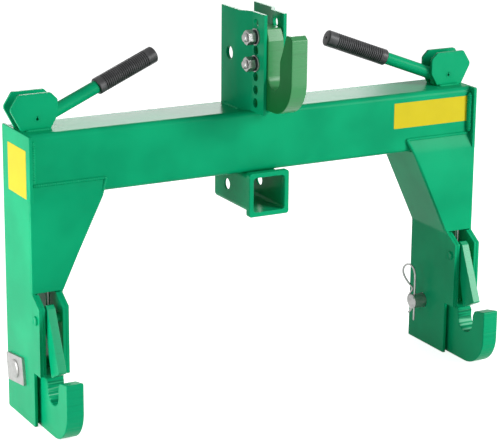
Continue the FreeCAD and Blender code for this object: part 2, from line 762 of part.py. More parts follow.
def mast_plate():
    """The right mast plate, joggled outwards behind the top hook."""
    front, back, t = MAST_FRONT_HALF, MAST_BACK_HALF, MAST_THICK
    plan = sharp([
        (front, MAST_FRONT),
        (front + t, MAST_FRONT),
        (front + t, JOGGLE_FRONT),
        (back + t, JOGGLE_BACK),
        (back + t, MAST_BACK),
        (back, MAST_BACK),
        (back, JOGGLE_BACK),
        (front, JOGGLE_FRONT),
    ])
    plate = column(plan, BEAM_TOP, MAST_TOP)
    holes = [rod_x(0, 2 * back, TOP_LINK_Y, BEAM_TOP + TOP_LINK_UP, TOP_LINK_D)]
    for level in range(LEVEL_COUNT):
        z = BEAM_TOP + LEVEL_FIRST + level * LEVEL_PITCH
        holes.append(rod_x(0, 2 * back, LEVEL_Y, z, LEVEL_HOLE_D))
    return plate.cut(holes)


def top_hook():
    """The upper J hook, bolted between the front edges of the mast plates."""
    z = LOWER_BOLT_Z
    back_wall = TOP_THROAT_CENTRE + TOP_THROAT_WIDTH / 2
    front_wall = TOP_THROAT_CENTRE - TOP_THROAT_WIDTH / 2
    top = z + TOP_HOOK_RISE
    floor = z - TOP_THROAT_DROP
    half_throat = TOP_THROAT_WIDTH / 2
    corners = [
        (TOP_HOOK_BACK, z - TOP_HOOK_FOOT, EDGE_BREAK),
        (TOP_PRONG_FRONT, z - TOP_HOOK_FOOT, TOP_HOOK_ROUND),
        (TOP_PRONG_FRONT, top - TOP_PRONG_FALL, HOOK_EDGE),
        (TOP_PRONG_FRONT + TOP_PRONG_TIP, top, HOOK_EDGE),
        (front_wall - TOP_LEAD[0], top, HOOK_EDGE),
        (front_wall, top - TOP_LEAD[1], TOP_LEAD_ROUND),
        (front_wall, floor, half_throat),
        (back_wall, floor, half_throat),
        (back_wall, top - TOP_HOOK_BEVEL[1], HOOK_EDGE),
        (back_wall + TOP_HOOK_BEVEL[0], top, HOOK_EDGE),
        (TOP_HOOK_BACK, top, HOOK_EDGE),
    ]
    half = TOP_HOOK_THICK / 2
    hook = plate_x(corners, -half, half)
    holes = [rod_x(-2 * half, 2 * half, LEVEL_Y, bolt_z, BOLT_D) for bolt_z in bolt_heights()]
    return hook.cut(holes)


def bolt_heights():
    """The two levels that the top hook is bolted at."""
    return [LOWER_BOLT_Z, UPPER_BOLT_Z]


def bolt_stack():
    """X places outside the left mast plate: plate, flat washer, lock washer, nut."""
    plate = -(MAST_FRONT_HALF + MAST_THICK)
    flat = plate - FLAT_WASHER
    lock = flat - LOCK_WASHER
    nut = lock - NUT_HEIGHT
    return plate, flat, lock, nut


def hook_bolt(z):
    """Hexagon bolt whose head lies on the right mast plate."""
    head_at = MAST_FRONT_HALF + MAST_THICK
    nut_end = bolt_stack()[3]
    shank = rod_x(nut_end - BOLT_TAIL, head_at, LEVEL_Y, z, BOLT_D)
    shank = shank.makeChamfer(LIFT_CHAMFER, [shank.Edges[2]])
    head = hexagon(BOLT_FLATS, head_at, head_at + BOLT_HEAD, LEVEL_Y, z)
    return shank.fuse(head).removeSplitter()


def hook_nut(z):
    """Hexagon nut on the left end of a bolt."""
    _, _, lock, nut = bolt_stack()
    body = hexagon(BOLT_FLATS, nut, lock, LEVEL_Y, z)
    return body.cut(rod_x(nut - 1, lock + 1, LEVEL_Y, z, BOLT_D))


def flat_washer(z):
    """Flat washer against the left mast plate."""
    plate, flat, _, _ = bolt_stack()
    ring = rod_x(flat, plate, LEVEL_Y, z, FLAT_WASHER_D)
    return ring.cut(rod_x(flat - 1, plate + 1, LEVEL_Y, z, BOLT_D))


def lock_washer(z):
    """Split lock washer between the flat washer and the nut."""
    _, flat, lock, _ = bolt_stack()
    ring = rod_x(lock, flat, LEVEL_Y, z, LOCK_WASHER_D)
    ring = ring.cut(rod_x(lock - 1, flat + 1, LEVEL_Y, z, BOLT_D))
    half = LOCK_SPLIT / 2
    gap = box(lock - 1, flat + 1, LEVEL_Y - half, LEVEL_Y + half, z, z + LOCK_WASHER_D)
    return ring.cut(gap)


# Receiver


def square_ring(y0, y1, outer, bore, outer_radius, bore_radius):
    """A square tube along Y round the receiver's axis."""
    def section(size, radius, start, end):
        half = size / 2
        low, high = RECEIVER_Z - half, RECEIVER_Z + half
        corners = [(-half, low, radius), (half, low, radius)]
        corners += [(half, high, radius), (-half, high, radius)]
        return plate_y(corners, start, end)

    return section(outer, outer_radius, y0, y1).cut(section(bore, bore_radius, y0 - 1, y1 + 1))


def receiver_tube():
    """The square socket under the beam, with its cross hole."""
    inner_radius = RECEIVER_RADIUS - RECEIVER_WALL
    tube = square_ring(
        RECEIVER_FRONT, RECEIVER_BACK, RECEIVER_OUTER, RECEIVER_BORE, RECEIVER_RADIUS, inner_radius
    )
    reach = RECEIVER_OUTER / 2 + 1
    return tube.cut(rod_x(-reach, reach, RECEIVER_PIN_Y, RECEIVER_Z, RECEIVER_PIN_D))


def receiver_collar():
    """The reinforcing ring on the mouth of the socket."""
    y0 = RECEIVER_FRONT - COLLAR_DEPTH
    inner_radius = RECEIVER_RADIUS - RECEIVER_WALL
    return square_ring(
        y0, RECEIVER_FRONT, COLLAR_OUTER, RECEIVER_BORE, COLLAR_ROUND, inner_radius
    )


# Lift arm pins


def lift_pin():
    """The right lift arm pin with its square head plate outside the leg."""
    head_end = LEG_OUT + LIFT_HEAD_THICK
    shank = rod_x(LIFT_PIN_END, head_end, LIFT_PIN_Y, LIFT_PIN_Z, LIFT_PIN_D)
    shank = shank.makeChamfer(LIFT_CHAMFER, [shank.Edges[2]])
    long_half = LIFT_HEAD_LONG / 2
    tall_half = LIFT_HEAD_TALL / 2
    head = plate_x([
        (LIFT_PIN_Y - long_half, LIFT_PIN_Z - tall_half, EDGE_BREAK),
        (LIFT_PIN_Y + long_half, LIFT_PIN_Z - tall_half, EDGE_BREAK),
        (LIFT_PIN_Y + long_half, LIFT_PIN_Z + tall_half, EDGE_BREAK),
        (LIFT_PIN_Y - long_half, LIFT_PIN_Z + tall_half, EDGE_BREAK),
    ], LEG_OUT, head_end)
    centre = Vector(head_end, LIFT_PIN_Y, LIFT_PIN_Z)
    head.rotate(centre, X_AXIS, -LIFT_HEAD_TILT)
    boss = Part.makeCylinder(LIFT_BOSS_D / 2, LIFT_BOSS, centre, X_AXIS)
    boss = boss.makeChamfer(LIFT_CHAMFER, [boss.Edges[0]])
    body = shank.fuse([head, boss]).removeSplitter()
    reach = LIFT_PIN_D
    hole_start = Vector(CLIP_X, LIFT_PIN_Y, LIFT_PIN_Z - reach)
    return body.cut(Part.makeCylinder(CLIP_HOLE_D / 2, 2 * reach, hole_start, Z_AXIS))


def pin_clip():
    """The hairpin clip of the right lift arm pin: straight leg, loop and waved leg."""
    def at(out, up):
        return Vector(out, 0, up)

    loop = 2 * CLIP_LOOP
    clip = bent_rod([
        (at(0, -CLIP_BELOW), 0),
        (at(0, CLIP_ABOVE), CLIP_BEND),
        (at(loop, CLIP_ABOVE), CLIP_BEND),
        (at(loop, CLIP_ABOVE - loop), CLIP_LOOP / 2),
        (at(CLIP_WAIST, CLIP_ABOVE - 3 * CLIP_LOOP), CLIP_LOOP / 2),
        (at(CLIP_BULGE, CLIP_CREST), CLIP_LOOP),
        (at(CLIP_WAIST, -CLIP_LOOP), CLIP_LOOP / 2),
        (at(CLIP_FLARE, -CLIP_LEG), 0),
    ], CLIP_WIRE)
    clip.rotate(Vector(0, 0, 0), Z_AXIS, 180 - CLIP_TURN)
    clip.translate(Vector(CLIP_X, LIFT_PIN_Y, LIFT_PIN_Z))
    return clip


def group(shapes):
    """Several separate solids as one node."""
    return Part.makeCompound(shapes)


MADE_ONCE = {
    "main_beam": main_beam(),
    "left_mast_plate": mirrored(mast_plate()),
    "right_mast_plate": mast_plate(),
    "top_hook": top_hook(),
    "top_hook_bolts": group([hook_bolt(z) for z in bolt_heights()]),
    "top_hook_nuts": group([hook_nut(z) for z in bolt_heights()]),
    "top_hook_flat_washers": group([flat_washer(z) for z in bolt_heights()]),
    "top_hook_lock_washers": group([lock_washer(z) for z in bolt_heights()]),
    "receiver_tube": receiver_tube(),
    "receiver_collar": receiver_collar(),
}
MADE_IN_PAIRS = {
    "end_plate": end_plate(),
    "leg_front_plate": front_plate(),
    "leg_inner_plate": inner_plate(),
    "outer_ear": ear(HOOK_OUT, EAR_OUT),
    "inner_ear": ear(EAR_IN, HOOK_IN),
    "lower_hook": lower_hook(),
    "latch_pin": latch_pin(),
    "lever_front_bracket": bracket_plate(BEAM_MIDDLE - BRACKET_GAP / 2 - BRACKET_THICK),
    "lever_rear_bracket": bracket_plate(BEAM_MIDDLE + BRACKET_GAP / 2),
    "lever_pivot_pin": lever_pin(),
    "lever_cam": lever_cam(),
    "lever_rod": lever_rod(),
    "lever_grip": lever_grip(),
    "lift_pin": lift_pin(),
    "lift_pin_clip": pin_clip(),
}
MADE_BY_SIDE = {
    "latch": latch,
    "pull_rod": pull_rod,
    "rod_collar": spring_collar,
    "return_spring": return_spring,
}


def all_pieces():
    """Every node by name, drawn where it belongs."""
    pieces = dict(MADE_ONCE)
    for name, shape in MADE_IN_PAIRS.items():
        pieces["right_" + name] = shape
        pieces["left_" + name] = mirrored(shape)
    for name, make in MADE_BY_SIDE.items():
        for side in SIDES:
            pieces[f"{side}_{name}"] = make(side)
    return pieces


os.makedirs("parts", exist_ok=True)
for node, piece in all_pieces().items():
    piece.translate(Vector(0, -ORIGIN_Y, 0))
    piece.exportStep(f"parts/{node}.step")
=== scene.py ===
"""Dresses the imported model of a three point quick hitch: paint, plating, rubber, welds and threads.

Lengths in the tables of properties are metres. X runs along the beam, -Y is the side of the
hooks, +Y the side of the tractor and Z is up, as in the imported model.
"""

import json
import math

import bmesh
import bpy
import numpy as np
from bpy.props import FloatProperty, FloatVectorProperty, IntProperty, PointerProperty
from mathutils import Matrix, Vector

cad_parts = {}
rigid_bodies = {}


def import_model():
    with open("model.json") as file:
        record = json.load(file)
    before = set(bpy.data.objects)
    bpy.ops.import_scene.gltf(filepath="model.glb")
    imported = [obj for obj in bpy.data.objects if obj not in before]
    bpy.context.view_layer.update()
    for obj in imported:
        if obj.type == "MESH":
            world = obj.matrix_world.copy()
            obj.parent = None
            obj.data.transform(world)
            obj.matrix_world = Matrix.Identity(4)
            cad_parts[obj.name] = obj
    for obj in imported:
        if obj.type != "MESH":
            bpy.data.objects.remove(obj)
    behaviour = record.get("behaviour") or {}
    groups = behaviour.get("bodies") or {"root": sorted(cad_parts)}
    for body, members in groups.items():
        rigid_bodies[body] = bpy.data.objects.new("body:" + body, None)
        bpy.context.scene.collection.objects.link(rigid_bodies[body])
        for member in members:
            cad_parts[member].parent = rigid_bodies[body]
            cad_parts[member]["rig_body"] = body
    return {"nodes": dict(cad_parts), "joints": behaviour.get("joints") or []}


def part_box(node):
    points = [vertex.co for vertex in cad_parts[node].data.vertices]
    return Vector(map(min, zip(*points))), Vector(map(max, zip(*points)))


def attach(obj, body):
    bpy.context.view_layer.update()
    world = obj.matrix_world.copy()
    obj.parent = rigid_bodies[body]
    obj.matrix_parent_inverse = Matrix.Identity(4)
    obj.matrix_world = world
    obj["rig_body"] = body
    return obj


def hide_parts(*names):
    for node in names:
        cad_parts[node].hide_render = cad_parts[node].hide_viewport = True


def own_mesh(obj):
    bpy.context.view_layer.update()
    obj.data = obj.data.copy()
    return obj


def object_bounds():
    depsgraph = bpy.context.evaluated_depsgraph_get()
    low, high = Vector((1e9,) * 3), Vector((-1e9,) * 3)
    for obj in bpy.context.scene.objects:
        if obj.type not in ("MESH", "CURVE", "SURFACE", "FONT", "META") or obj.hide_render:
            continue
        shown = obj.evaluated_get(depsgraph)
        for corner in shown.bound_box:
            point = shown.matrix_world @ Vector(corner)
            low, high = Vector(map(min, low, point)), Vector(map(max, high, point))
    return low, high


bl_info = {
    "name": "Quick Hitch Dressing",
    "version": (1, 0, 0),
    "blender": (4, 5, 0),
    "location": "View3D > Sidebar > Quick Hitch",
    "description": "Paint, plating, rubber grips, welds and fasteners of a three point quick hitch",
    "category": "Object",
}

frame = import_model()
CAD_LOW, CAD_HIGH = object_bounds()

SIDES = {"left": -1, "right": 1}
JOINTS = {joint["name"]: joint for joint in frame["joints"]}
BEAM_LOW, BEAM_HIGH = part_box("main_beam")
TOP = BEAM_HIGH.z
UP = np.array([0.0, 0.0, 1.0])
FLOOR_Z = CAD_LOW.z
MM = 0.001


# Sizes and colours that can be changed


class HitchShape(bpy.types.PropertyGroup):
    """Sizes of the pieces that this add-on makes or softens."""

    edge_width: FloatProperty(
        name="Plate edge", description="Width of the rounded edge of a cut plate",
        default=0.9 * MM, unit="LENGTH",
    )
    hook_edge: FloatProperty(
        name="Hook edge", description="Width of the ground edge of a thick hook",
        default=1.6 * MM, unit="LENGTH",
    )
    rib_pitch: FloatProperty(
        name="Rib pitch", description="Distance from one rib of a grip to the next",
        default=3.2 * MM, unit="LENGTH",
    )
    rib_height: FloatProperty(
        name="Rib height", description="How far a rib stands over the groove beside it",
        default=1.3 * MM, unit="LENGTH",
    )
    grip_collar: FloatProperty(
        name="Grip collar", description="Plain length of a grip before its first rib",
        default=9.0 * MM, unit="LENGTH",
    )
    grip_tip: FloatProperty(
        name="Grip tip", description="Smooth length at the outer end of a grip",
        default=15.0 * MM, unit="LENGTH",
    )
    thread_pitch: FloatProperty(
        name="Thread pitch", description="Pitch of the thread on the bolts of the top hook",
        default=1.95 * MM, unit="LENGTH",
    )
    weld_leg: FloatProperty(
        name="Weld leg", description="Radius of a fillet weld's rope",
        default=2.6 * MM, unit="LENGTH",
    )
    weld_pitch: FloatProperty(
        name="Weld ripple", description="Distance between the ripples of a weld",
        default=3.4 * MM, unit="LENGTH",
    )
    plate_thickness: FloatProperty(
        name="Plate thickness", description="Thickness of the two bare yellow plates",
        default=0.35 * MM, unit="LENGTH",
    )
    sides: IntProperty(
        name="Sides", description="Sides of a round section", default=40, min=12,
    )


class HitchColour(bpy.types.PropertyGroup):
    """Colours of the finishes."""

    paint: FloatVectorProperty(
        name="Paint", description="Green gloss paint of the frame",
        default=(0.001, 0.375, 0.16), subtype="COLOR", size=3,
    )
    hook_paint: FloatVectorProperty(
        name="Hook paint", description="Darker green of the bolted top hook",
        default=(0.008, 0.16, 0.037), subtype="COLOR", size=3,
    )
    rubber: FloatVectorProperty(
        name="Rubber", description="Black rubber of the grips",
        default=(0.034, 0.034, 0.036), subtype="COLOR", size=3,
    )
    zinc: FloatVectorProperty(
        name="Zinc", description="Bright zinc plating",
        default=(0.44, 0.44, 0.43), subtype="COLOR", size=3,
    )
    black_steel: FloatVectorProperty(
        name="Black steel", description="Blackened steel of the lock washers",
        default=(0.05, 0.05, 0.055), subtype="COLOR", size=3,
    )
    yellow: FloatVectorProperty(
        name="Yellow", description="Bare yellow plates",
        default=(0.66, 0.545, 0.007), subtype="COLOR", size=3,
    )


class HitchStage(bpy.types.PropertyGroup):
    """Camera and light of the studio."""

    lens: FloatProperty(
        name="Lens", description="Focal length", default=142.6, unit="CAMERA",
    )
    yaw: FloatProperty(
        name="Yaw", description="Turn of the view from straight at the hooks",
        default=math.radians(28.51), subtype="ANGLE",
    )
    pitch: FloatProperty(
        name="Pitch", description="How far the view looks down",
        default=math.radians(16.03), subtype="ANGLE",
    )
    roll: FloatProperty(
        name="Roll", description="Roll of the camera", default=math.radians(0.54), subtype="ANGLE",
    )
    place: FloatVectorProperty(
        name="Place", description="Place of the camera from the middle of the beam's front",
        default=(-1.3361, -2.42421, 1.04861), subtype="TRANSLATION", size=3, unit="LENGTH",
    )


def shape():
    """The sizes of the open scene."""
    return bpy.context.scene.hitch_shape


def colour():
    """The colours of the open scene."""
    return bpy.context.scene.hitch_colour


# Surfaces


MERGE = 2e-6
FLAT_ANGLE = math.radians(1)
SOFT_ANGLE = math.radians(32)
OFF_AXIS = (0.31, 0.17, 0.23)
WELD_SHARP = 70
WIRE_SHARP = 60
SHEET_SHARP = 40
THREAD_SHARP = 25
CHEEK_SHARP = 20


def square_axes(tangent, reference):
    """Two unit directions square to a tangent: tangent x reference, and tangent x that."""
    u = np.cross(tangent, reference)
    u /= np.linalg.norm(u, axis=-1, keepdims=True)
    return u, np.cross(tangent, u)


def revolve(start, axis, along, radius, sides):
    """Rows of points start + s axis + r (cos a u + sin a v) for each (s, r) of a profile."""
    axis = np.asarray(axis, float) / np.linalg.norm(axis)
    u, v = square_axes(axis, np.roll(axis, 1) + OFF_AXIS)
    turn = np.linspace(0, 2 * np.pi, sides, endpoint=False)
    ring = np.cos(turn)[:, None] * u + np.sin(turn)[:, None] * v
    centre = np.asarray(start) + np.asarray(along)[:, None] * axis
    return centre[:, None] + np.asarray(radius)[:, None, None] * ring


def sweep(path, radius, sides, reference=(0.5, 0.62, 0.6)):
    """Rows of points p(t) + r(t) (cos a u + sin a v), with u and v square to the path."""
    tangent = np.gradient(path, axis=0)
    tangent /= np.linalg.norm(tangent, axis=1, keepdims=True)
    u, v = square_axes(tangent, np.asarray(reference))
    turn = np.linspace(0, 2 * np.pi, sides, endpoint=False)
    ring = np.cos(turn)[:, None] * u[:, None] + np.sin(turn)[:, None] * v[:, None]
    return path[:, None] + np.asarray(radius)[:, None, None] * ring


def skin(rows):
    """Vertices and faces of a closed skin: quads between the rows, a fan over each end."""
    count, sides = rows.shape[:2]
    i, j = np.meshgrid(np.arange(count - 1), np.arange(sides), indexing="ij")
    a, b = i * sides + j, i * sides + (j + 1) % sides
    quads = np.stack([a, b, b + sides, a + sides], -1).reshape(-1, 4)
    j = np.arange(sides)
    first, last = count * sides, count * sides + 1
    start = np.stack([(j + 1) % sides, j, np.full(sides, first)], -1)
    end = np.stack([j, (j + 1) % sides, np.full(sides, last)], -1)
    end[:, :2] += (count - 1) * sides
    points = np.vstack([rows.reshape(-1, 3), rows[0].mean(0), rows[-1].mean(0)])
    return points, [*quads.tolist(), *start.tolist(), *end.tolist()]


def new_piece(name, skins, material, body, replaces=(), sharp=35):
    """One object from closed skins, merged, facing outwards, riding on a body."""
    points, faces, start = [], [], 0
    for part_points, part_faces in skins:
        points.append(part_points)
        faces += [[i + start for i in face] for face in part_faces]
        start += len(part_points)
    mesh = bpy.data.meshes.new(name)
    mesh.from_pydata(np.vstack(points), [], faces)
    build = bmesh.new()
    build.from_mesh(mesh)
    bmesh.ops.remove_doubles(build, verts=build.verts, dist=MERGE)
    bmesh.ops.dissolve_degenerate(build, edges=build.edges, dist=MERGE)
    bmesh.ops.recalc_face_normals(build, faces=build.faces)
    build.to_mesh(mesh)
    build.free()
    mesh.shade_smooth()
    mesh.set_sharp_from_angle(angle=math.radians(sharp))
    return hang(name, mesh, material, body, replaces)


def hang(name, mesh, material, body, replaces=()):
    """An object of one material that rides on a body, in place of the nodes that it replaces."""
    piece = bpy.data.objects.new(name, mesh)
    bpy.context.scene.collection.objects.link(piece)
    mesh.materials.clear()
    mesh.materials.append(material)
    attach(piece, body)
    if replaces:
        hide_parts(*replaces)
    return piece


def body_of(node):
    """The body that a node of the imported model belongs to."""
    return frame["nodes"][node]["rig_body"]


def soften(node, material, width, segments=2):
    """A copy of a plate with its cut edges rounded over, in the plate's place."""
    mesh = frame["nodes"][node].data.copy()
    build = bmesh.new()
    build.from_mesh(mesh)
    bmesh.ops.remove_doubles(build, verts=build.verts, dist=MERGE)
    bmesh.ops.dissolve_limit(
        build, angle_limit=FLAT_ANGLE, verts=build.verts, edges=build.edges
    )
    build.to_mesh(mesh)
    build.free()
    mesh.shade_smooth()
    piece = hang(node + "_finish", mesh, material, body_of(node), [node])
    bevel = piece.modifiers.new("edges", "BEVEL")
    bevel.width = width
    bevel.segments = segments
    bevel.limit_method = "ANGLE"
    bevel.angle_limit = SOFT_ANGLE
    bevel.use_clamp_overlap = True
    bevel.loop_slide = False
    flat = piece.modifiers.new("flat", "WEIGHTED_NORMAL")
    flat.weight = 100


def dress(node, material):
    """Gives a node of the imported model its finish."""
    data = frame["nodes"][node].data
    data.materials.clear()
    data.materials.append(material)


def pair(*names):
    """The same names on the left and on the right."""
    return [f"{side}_{name}" for side in SIDES for name in names]


# Materials


def times(base, factor):
    """A colour, lighter or darker, with no channel above 1."""
    return [min(1.0, factor * part) for part in base]


class Shade:
    """A socket of a material; sums, differences and products of it add Math nodes."""

    def __init__(self, tree, socket):
        self.tree = tree
        self.socket = socket

    def math(self, operation, *values):
        node = self.tree.nodes.new("ShaderNodeMath")
        node.operation = operation
        for place, value in zip(node.inputs, values):
            plug(self.tree, place, value)
        return Shade(self.tree, node.outputs[0])

    def __add__(self, other):
        return self.math("ADD", self, other)

    def __sub__(self, other):
        return self.math("SUBTRACT", self, other)

    def __rsub__(self, other):
        return self.math("SUBTRACT", other, self)

    def __mul__(self, other):
        return self.math("MULTIPLY", self, other)

    def __abs__(self):
        return self.math("ABSOLUTE", self)

    def ramp(self, low, high):
        """0 below low, 1 above high, smooth between them."""
        node = self.tree.nodes.new("ShaderNodeMapRange")
        node.interpolation_type = "SMOOTHSTEP"
        for place, value in zip(("Value", "From Min", "From Max"), (self, low, high)):
            plug(self.tree, node.inputs[place], value)
        return Shade(self.tree, node.outputs[0])

    __radd__ = __add__
    __rmul__ = __mul__


def plug(tree, place, value):
    """Links a socket, or sets its own value."""
    if isinstance(value, Shade):
        tree.links.new(value.socket, place)
    elif hasattr(place.default_value, "__len__") and len(place.default_value) == 4:
        place.default_value = (*value[:3], 1.0)
    else:
        place.default_value = value


class Recipe:
    """A material under construction."""

    def __init__(self, name):
        self.material = bpy.data.materials.new(name)
        self.material.use_nodes = True
        self.tree = self.material.node_tree
        self.tree.nodes.clear()

    def node(self, kind, inputs, settings=None, out=0):
        """Any node: its settings first, then the values or links of its inputs."""
        node = self.tree.nodes.new(kind)
        for key, value in (settings or {}).items():
            setattr(node, key, value)
        for key, value in inputs.items():
            plug(self.tree, node.inputs[key], value)
        return Shade(self.tree, node.outputs[out]) if len(node.outputs) else node

    def place(self):
        """The place of a point in the model's own frame."""
        return self.node("ShaderNodeTexCoord", {}, out="Object")

    def stretched(self, scale, turn=(0.0, 0.0, 0.0)):
        """The place, stretched and turned."""
        return self.node(
            "ShaderNodeMapping", {"Vector": self.place(), "Scale": scale, "Rotation": turn}
        )

    def noise(self, scale, detail=2.0, vector=None):
        """Noise of about scale bumps per metre."""
        return self.node("ShaderNodeTexNoise", {
            "Vector": vector or self.place(), "Scale": scale, "Detail": detail,
        })

    def mix(self, share, first, second):
        """A colour between two colours."""
        return self.node(
            "ShaderNodeMix", {0: share, 6: first, 7: second}, {"data_type": "RGBA"}, out=2
        )

    def axis(self, which):
        """How far the surface faces along X, Y or Z, from -1 to 1."""
        normal = self.node("ShaderNodeTexCoord", {}, out="Normal")
        return self.node("ShaderNodeSeparateXYZ", {"Vector": normal}, out=which)

    def near(self, centre, reach, fade):
        """1 within reach of a line along X through centre, 0 beyond the fade."""
        flat = self.node(
            "ShaderNodeVectorMath", {0: self.place(), 1: (0.0, 1.0, 1.0)}, {"operation": "MULTIPLY"}
        )
        away = self.node(
            "ShaderNodeVectorMath", {0: flat, 1: centre}, {"operation": "DISTANCE"}, out="Value"
        )
        return 1 - away.ramp(reach, reach + fade)

    def bump(self, height, distance, strength=1.0, under=None):
        """A normal pushed about by a height in metres."""
        inputs = {"Height": height, "Distance": distance, "Strength": strength}
        if under is not None:
            inputs["Normal"] = under
        return self.node("ShaderNodeBump", inputs)

    def surface(self, **inputs):
        """The finished shader, from the names of its sockets with _ for a space."""
        named = {key.replace("_", " "): value for key, value in inputs.items()}
        shader = self.node("ShaderNodeBsdfPrincipled", named)
        self.node("ShaderNodeOutputMaterial", {"Surface": shader})
        return self.material


PAINT_SHEEN = 0.05
DRIFT_SCALE = 9.0
DRIFT_BAND = (0.3, 0.7)
DRIFT_DARK = 0.86
DRIFT_LIGHT = 1.1
DRIFT_LEAST = 0.002
DRIFT_ROUGH = 0.06
FLOW_SCALE = 60.0
PEEL_SCALE = 520.0
PEEL_SHARE = 0.6
PEEL_DEPTH = 0.12 * MM
SPECK_SCALE = 1900.0
SPECK_BAND = (0.74, 0.8)
SPECK_SHARE = 0.35
SPECK_DARK = 0.5
SPECK_ROUGH = 0.15
CUT_FACES = (0.5, 0.9)
CUT_ROUGH = 0.04
DRAG_STRETCH = (10.0, 260.0, 260.0)
DRAG_BAND = (0.3, 0.7)
DRAG_DEPTH = 0.6 * MM
# Painted shade in the grooves of the drag lines
DRAG_DARK_BAND = (0.25, 0.45)
DRAG_DARK_SHARE = 0.16
DRAG_DARK = 0.55
COAT_IOR = 1.55
COAT_ROUGHNESS = 0.3
CUT_COAT = 0.5
LOWER_HOOK_COAT = 0.06
TOP_HOOK_COAT = 1.0
# Painted light: the top hook's cut faces are drawn lighter
TOP_HOOK_PAINTED_LIGHT = 1.6
# Throat of the lower hooks: painted shade and painted highlight lines along the drag lines
THROAT_CENTRE = (0.0, -0.04825, 0.066)
THROAT_REACH = 20.5 * MM
THROAT_FADE = 2.0 * MM
THROAT_DARK_BAND = (0.4, 0.52)
THROAT_DARK_SHARE = 0.7
THROAT_DARK = 0.35
THROAT_SHINE = (0.3, 0.75, 0.52)
THROAT_SHINE_BAND = (0.52, 0.62)
THROAT_SHINE_SHARE = 0.55


def paint(name, base, roughness=0.26, cut_edges=False, lift=1.0, coat=CUT_COAT):
    """Gloss paint over steel: slow drifts of tone, orange peel and a few settled specks.

    Cut edges keep the drag lines of the flame under the paint and shine through a thicker coat.
    The drag lines' grooves get painted shade, the throat of the lower hooks gets painted shade
    and painted highlight lines, and a lift over 1 lightens the cut faces as painted light.
    """
    recipe = Recipe(name)
    drift = recipe.noise(DRIFT_SCALE, 3.0)
    lighter = [min(1.0, DRIFT_LIGHT * part + DRIFT_LEAST) for part in base]
    tone = recipe.mix(drift.ramp(*DRIFT_BAND), times(base, DRIFT_DARK), lighter)
    speck = recipe.noise(SPECK_SCALE, 1.0).ramp(*SPECK_BAND)
    tone = recipe.mix(speck * SPECK_SHARE, tone, times(base, SPECK_DARK))
    waves = recipe.noise(PEEL_SCALE) * PEEL_SHARE + recipe.noise(FLOW_SCALE)
    normal = recipe.bump(waves, PEEL_DEPTH, 0.5)
    rough = drift * DRIFT_ROUGH + (roughness - DRIFT_ROUGH / 2) + speck * SPECK_ROUGH
    thick = 0.0
    if cut_edges:
        side = 1 - abs(recipe.axis("X")).ramp(*CUT_FACES)
        drag = recipe.noise(1.0, 2.0, recipe.stretched(DRAG_STRETCH))
        normal = recipe.bump(drag.ramp(*DRAG_BAND) * side, DRAG_DEPTH, 0.55, normal)
        rough = rough + side * CUT_ROUGH
        # Painted light: a lift above 1 draws the cut faces lighter, as where light falls on them
        tone = recipe.mix(side, tone, times(base, lift))
        # Painted shade: the grooves of the drag lines are drawn darker
        lines = (1 - drag.ramp(*DRAG_DARK_BAND)) * side
        tone = recipe.mix(lines * DRAG_DARK_SHARE, tone, times(base, DRAG_DARK))
        # In the throat of the lower hooks, dark lines are painted shade and pale lines a painted
        # highlight
        throat = recipe.near(THROAT_CENTRE, THROAT_REACH, THROAT_FADE) * side
        throat_painted_shade = (1 - drag.ramp(*THROAT_DARK_BAND)) * throat
        tone = recipe.mix(throat_painted_shade * THROAT_DARK_SHARE, tone, times(base, THROAT_DARK))
        bright = drag.ramp(*THROAT_SHINE_BAND) * throat
        tone = recipe.mix(bright * THROAT_SHINE_SHARE, tone, THROAT_SHINE)
        thick = side * coat
    return recipe.surface(
        Base_Color=tone, Roughness=rough, Normal=normal, Specular_IOR_Level=PAINT_SHEEN,
        Coat_Weight=thick, Coat_Roughness=COAT_ROUGHNESS, Coat_IOR=COAT_IOR,
    )


GROOVE = "groove"
GROOVE_BAND = (0.1, 0.8)
# Painted shade at the bottom of the grip's grooves
GROOVE_PAINTED_SHADE = 0.08
MOTTLE_SCALE = 70.0
MOTTLE_BAND = (0.35, 0.7)
MOTTLE_LIGHT = 1.9
MOTTLE_ROUGH = 0.16
RUBBER_ROUGH = 0.3
RUBBER_SHEEN = 0.4
PORE_SCALE = 2600.0
PORE_DEPTH = 0.08 * MM


def rubber(name, base):
    """Moulded rubber: matt, faintly mottled, with fine pores and painted shade in the grooves."""
    recipe = Recipe(name)
    mottle = recipe.noise(MOTTLE_SCALE, 4.0)
    tone = recipe.mix(mottle.ramp(*MOTTLE_BAND), base, times(base, MOTTLE_LIGHT))
    stored = {"attribute_name": GROOVE, "attribute_type": "GEOMETRY"}
    groove = recipe.node("ShaderNodeAttribute", {}, stored, out="Fac")
    # Painted shade: deeper in a groove is drawn darker
    tone = recipe.mix(groove.ramp(*GROOVE_BAND), tone, times(base, GROOVE_PAINTED_SHADE))
    return recipe.surface(
        Base_Color=tone, Roughness=mottle * MOTTLE_ROUGH + RUBBER_ROUGH,
        Specular_IOR_Level=RUBBER_SHEEN,
        Normal=recipe.bump(recipe.noise(PORE_SCALE), PORE_DEPTH, 0.5),
    )


CLOUD_SCALE = 180.0
CLOUD_BAND = (0.3, 0.7)
CLOUD_DARK = 0.8
CLOUD_ROUGH = 0.14
CLOUD_SET = 0.05
STAIN_SCALE = 45.0
STAIN_BAND = (0.52, 0.75)
STAIN_SHARE = 0.4
STAIN_DARK = 0.45
STAIN_ROUGH = 0.1
SCRATCH_STRETCH = (1800.0, 260.0, 260.0)
SCRATCH_TURN = (0.3, 0.2, 0.1)
SCRATCH_DEPTH = 0.06 * MM


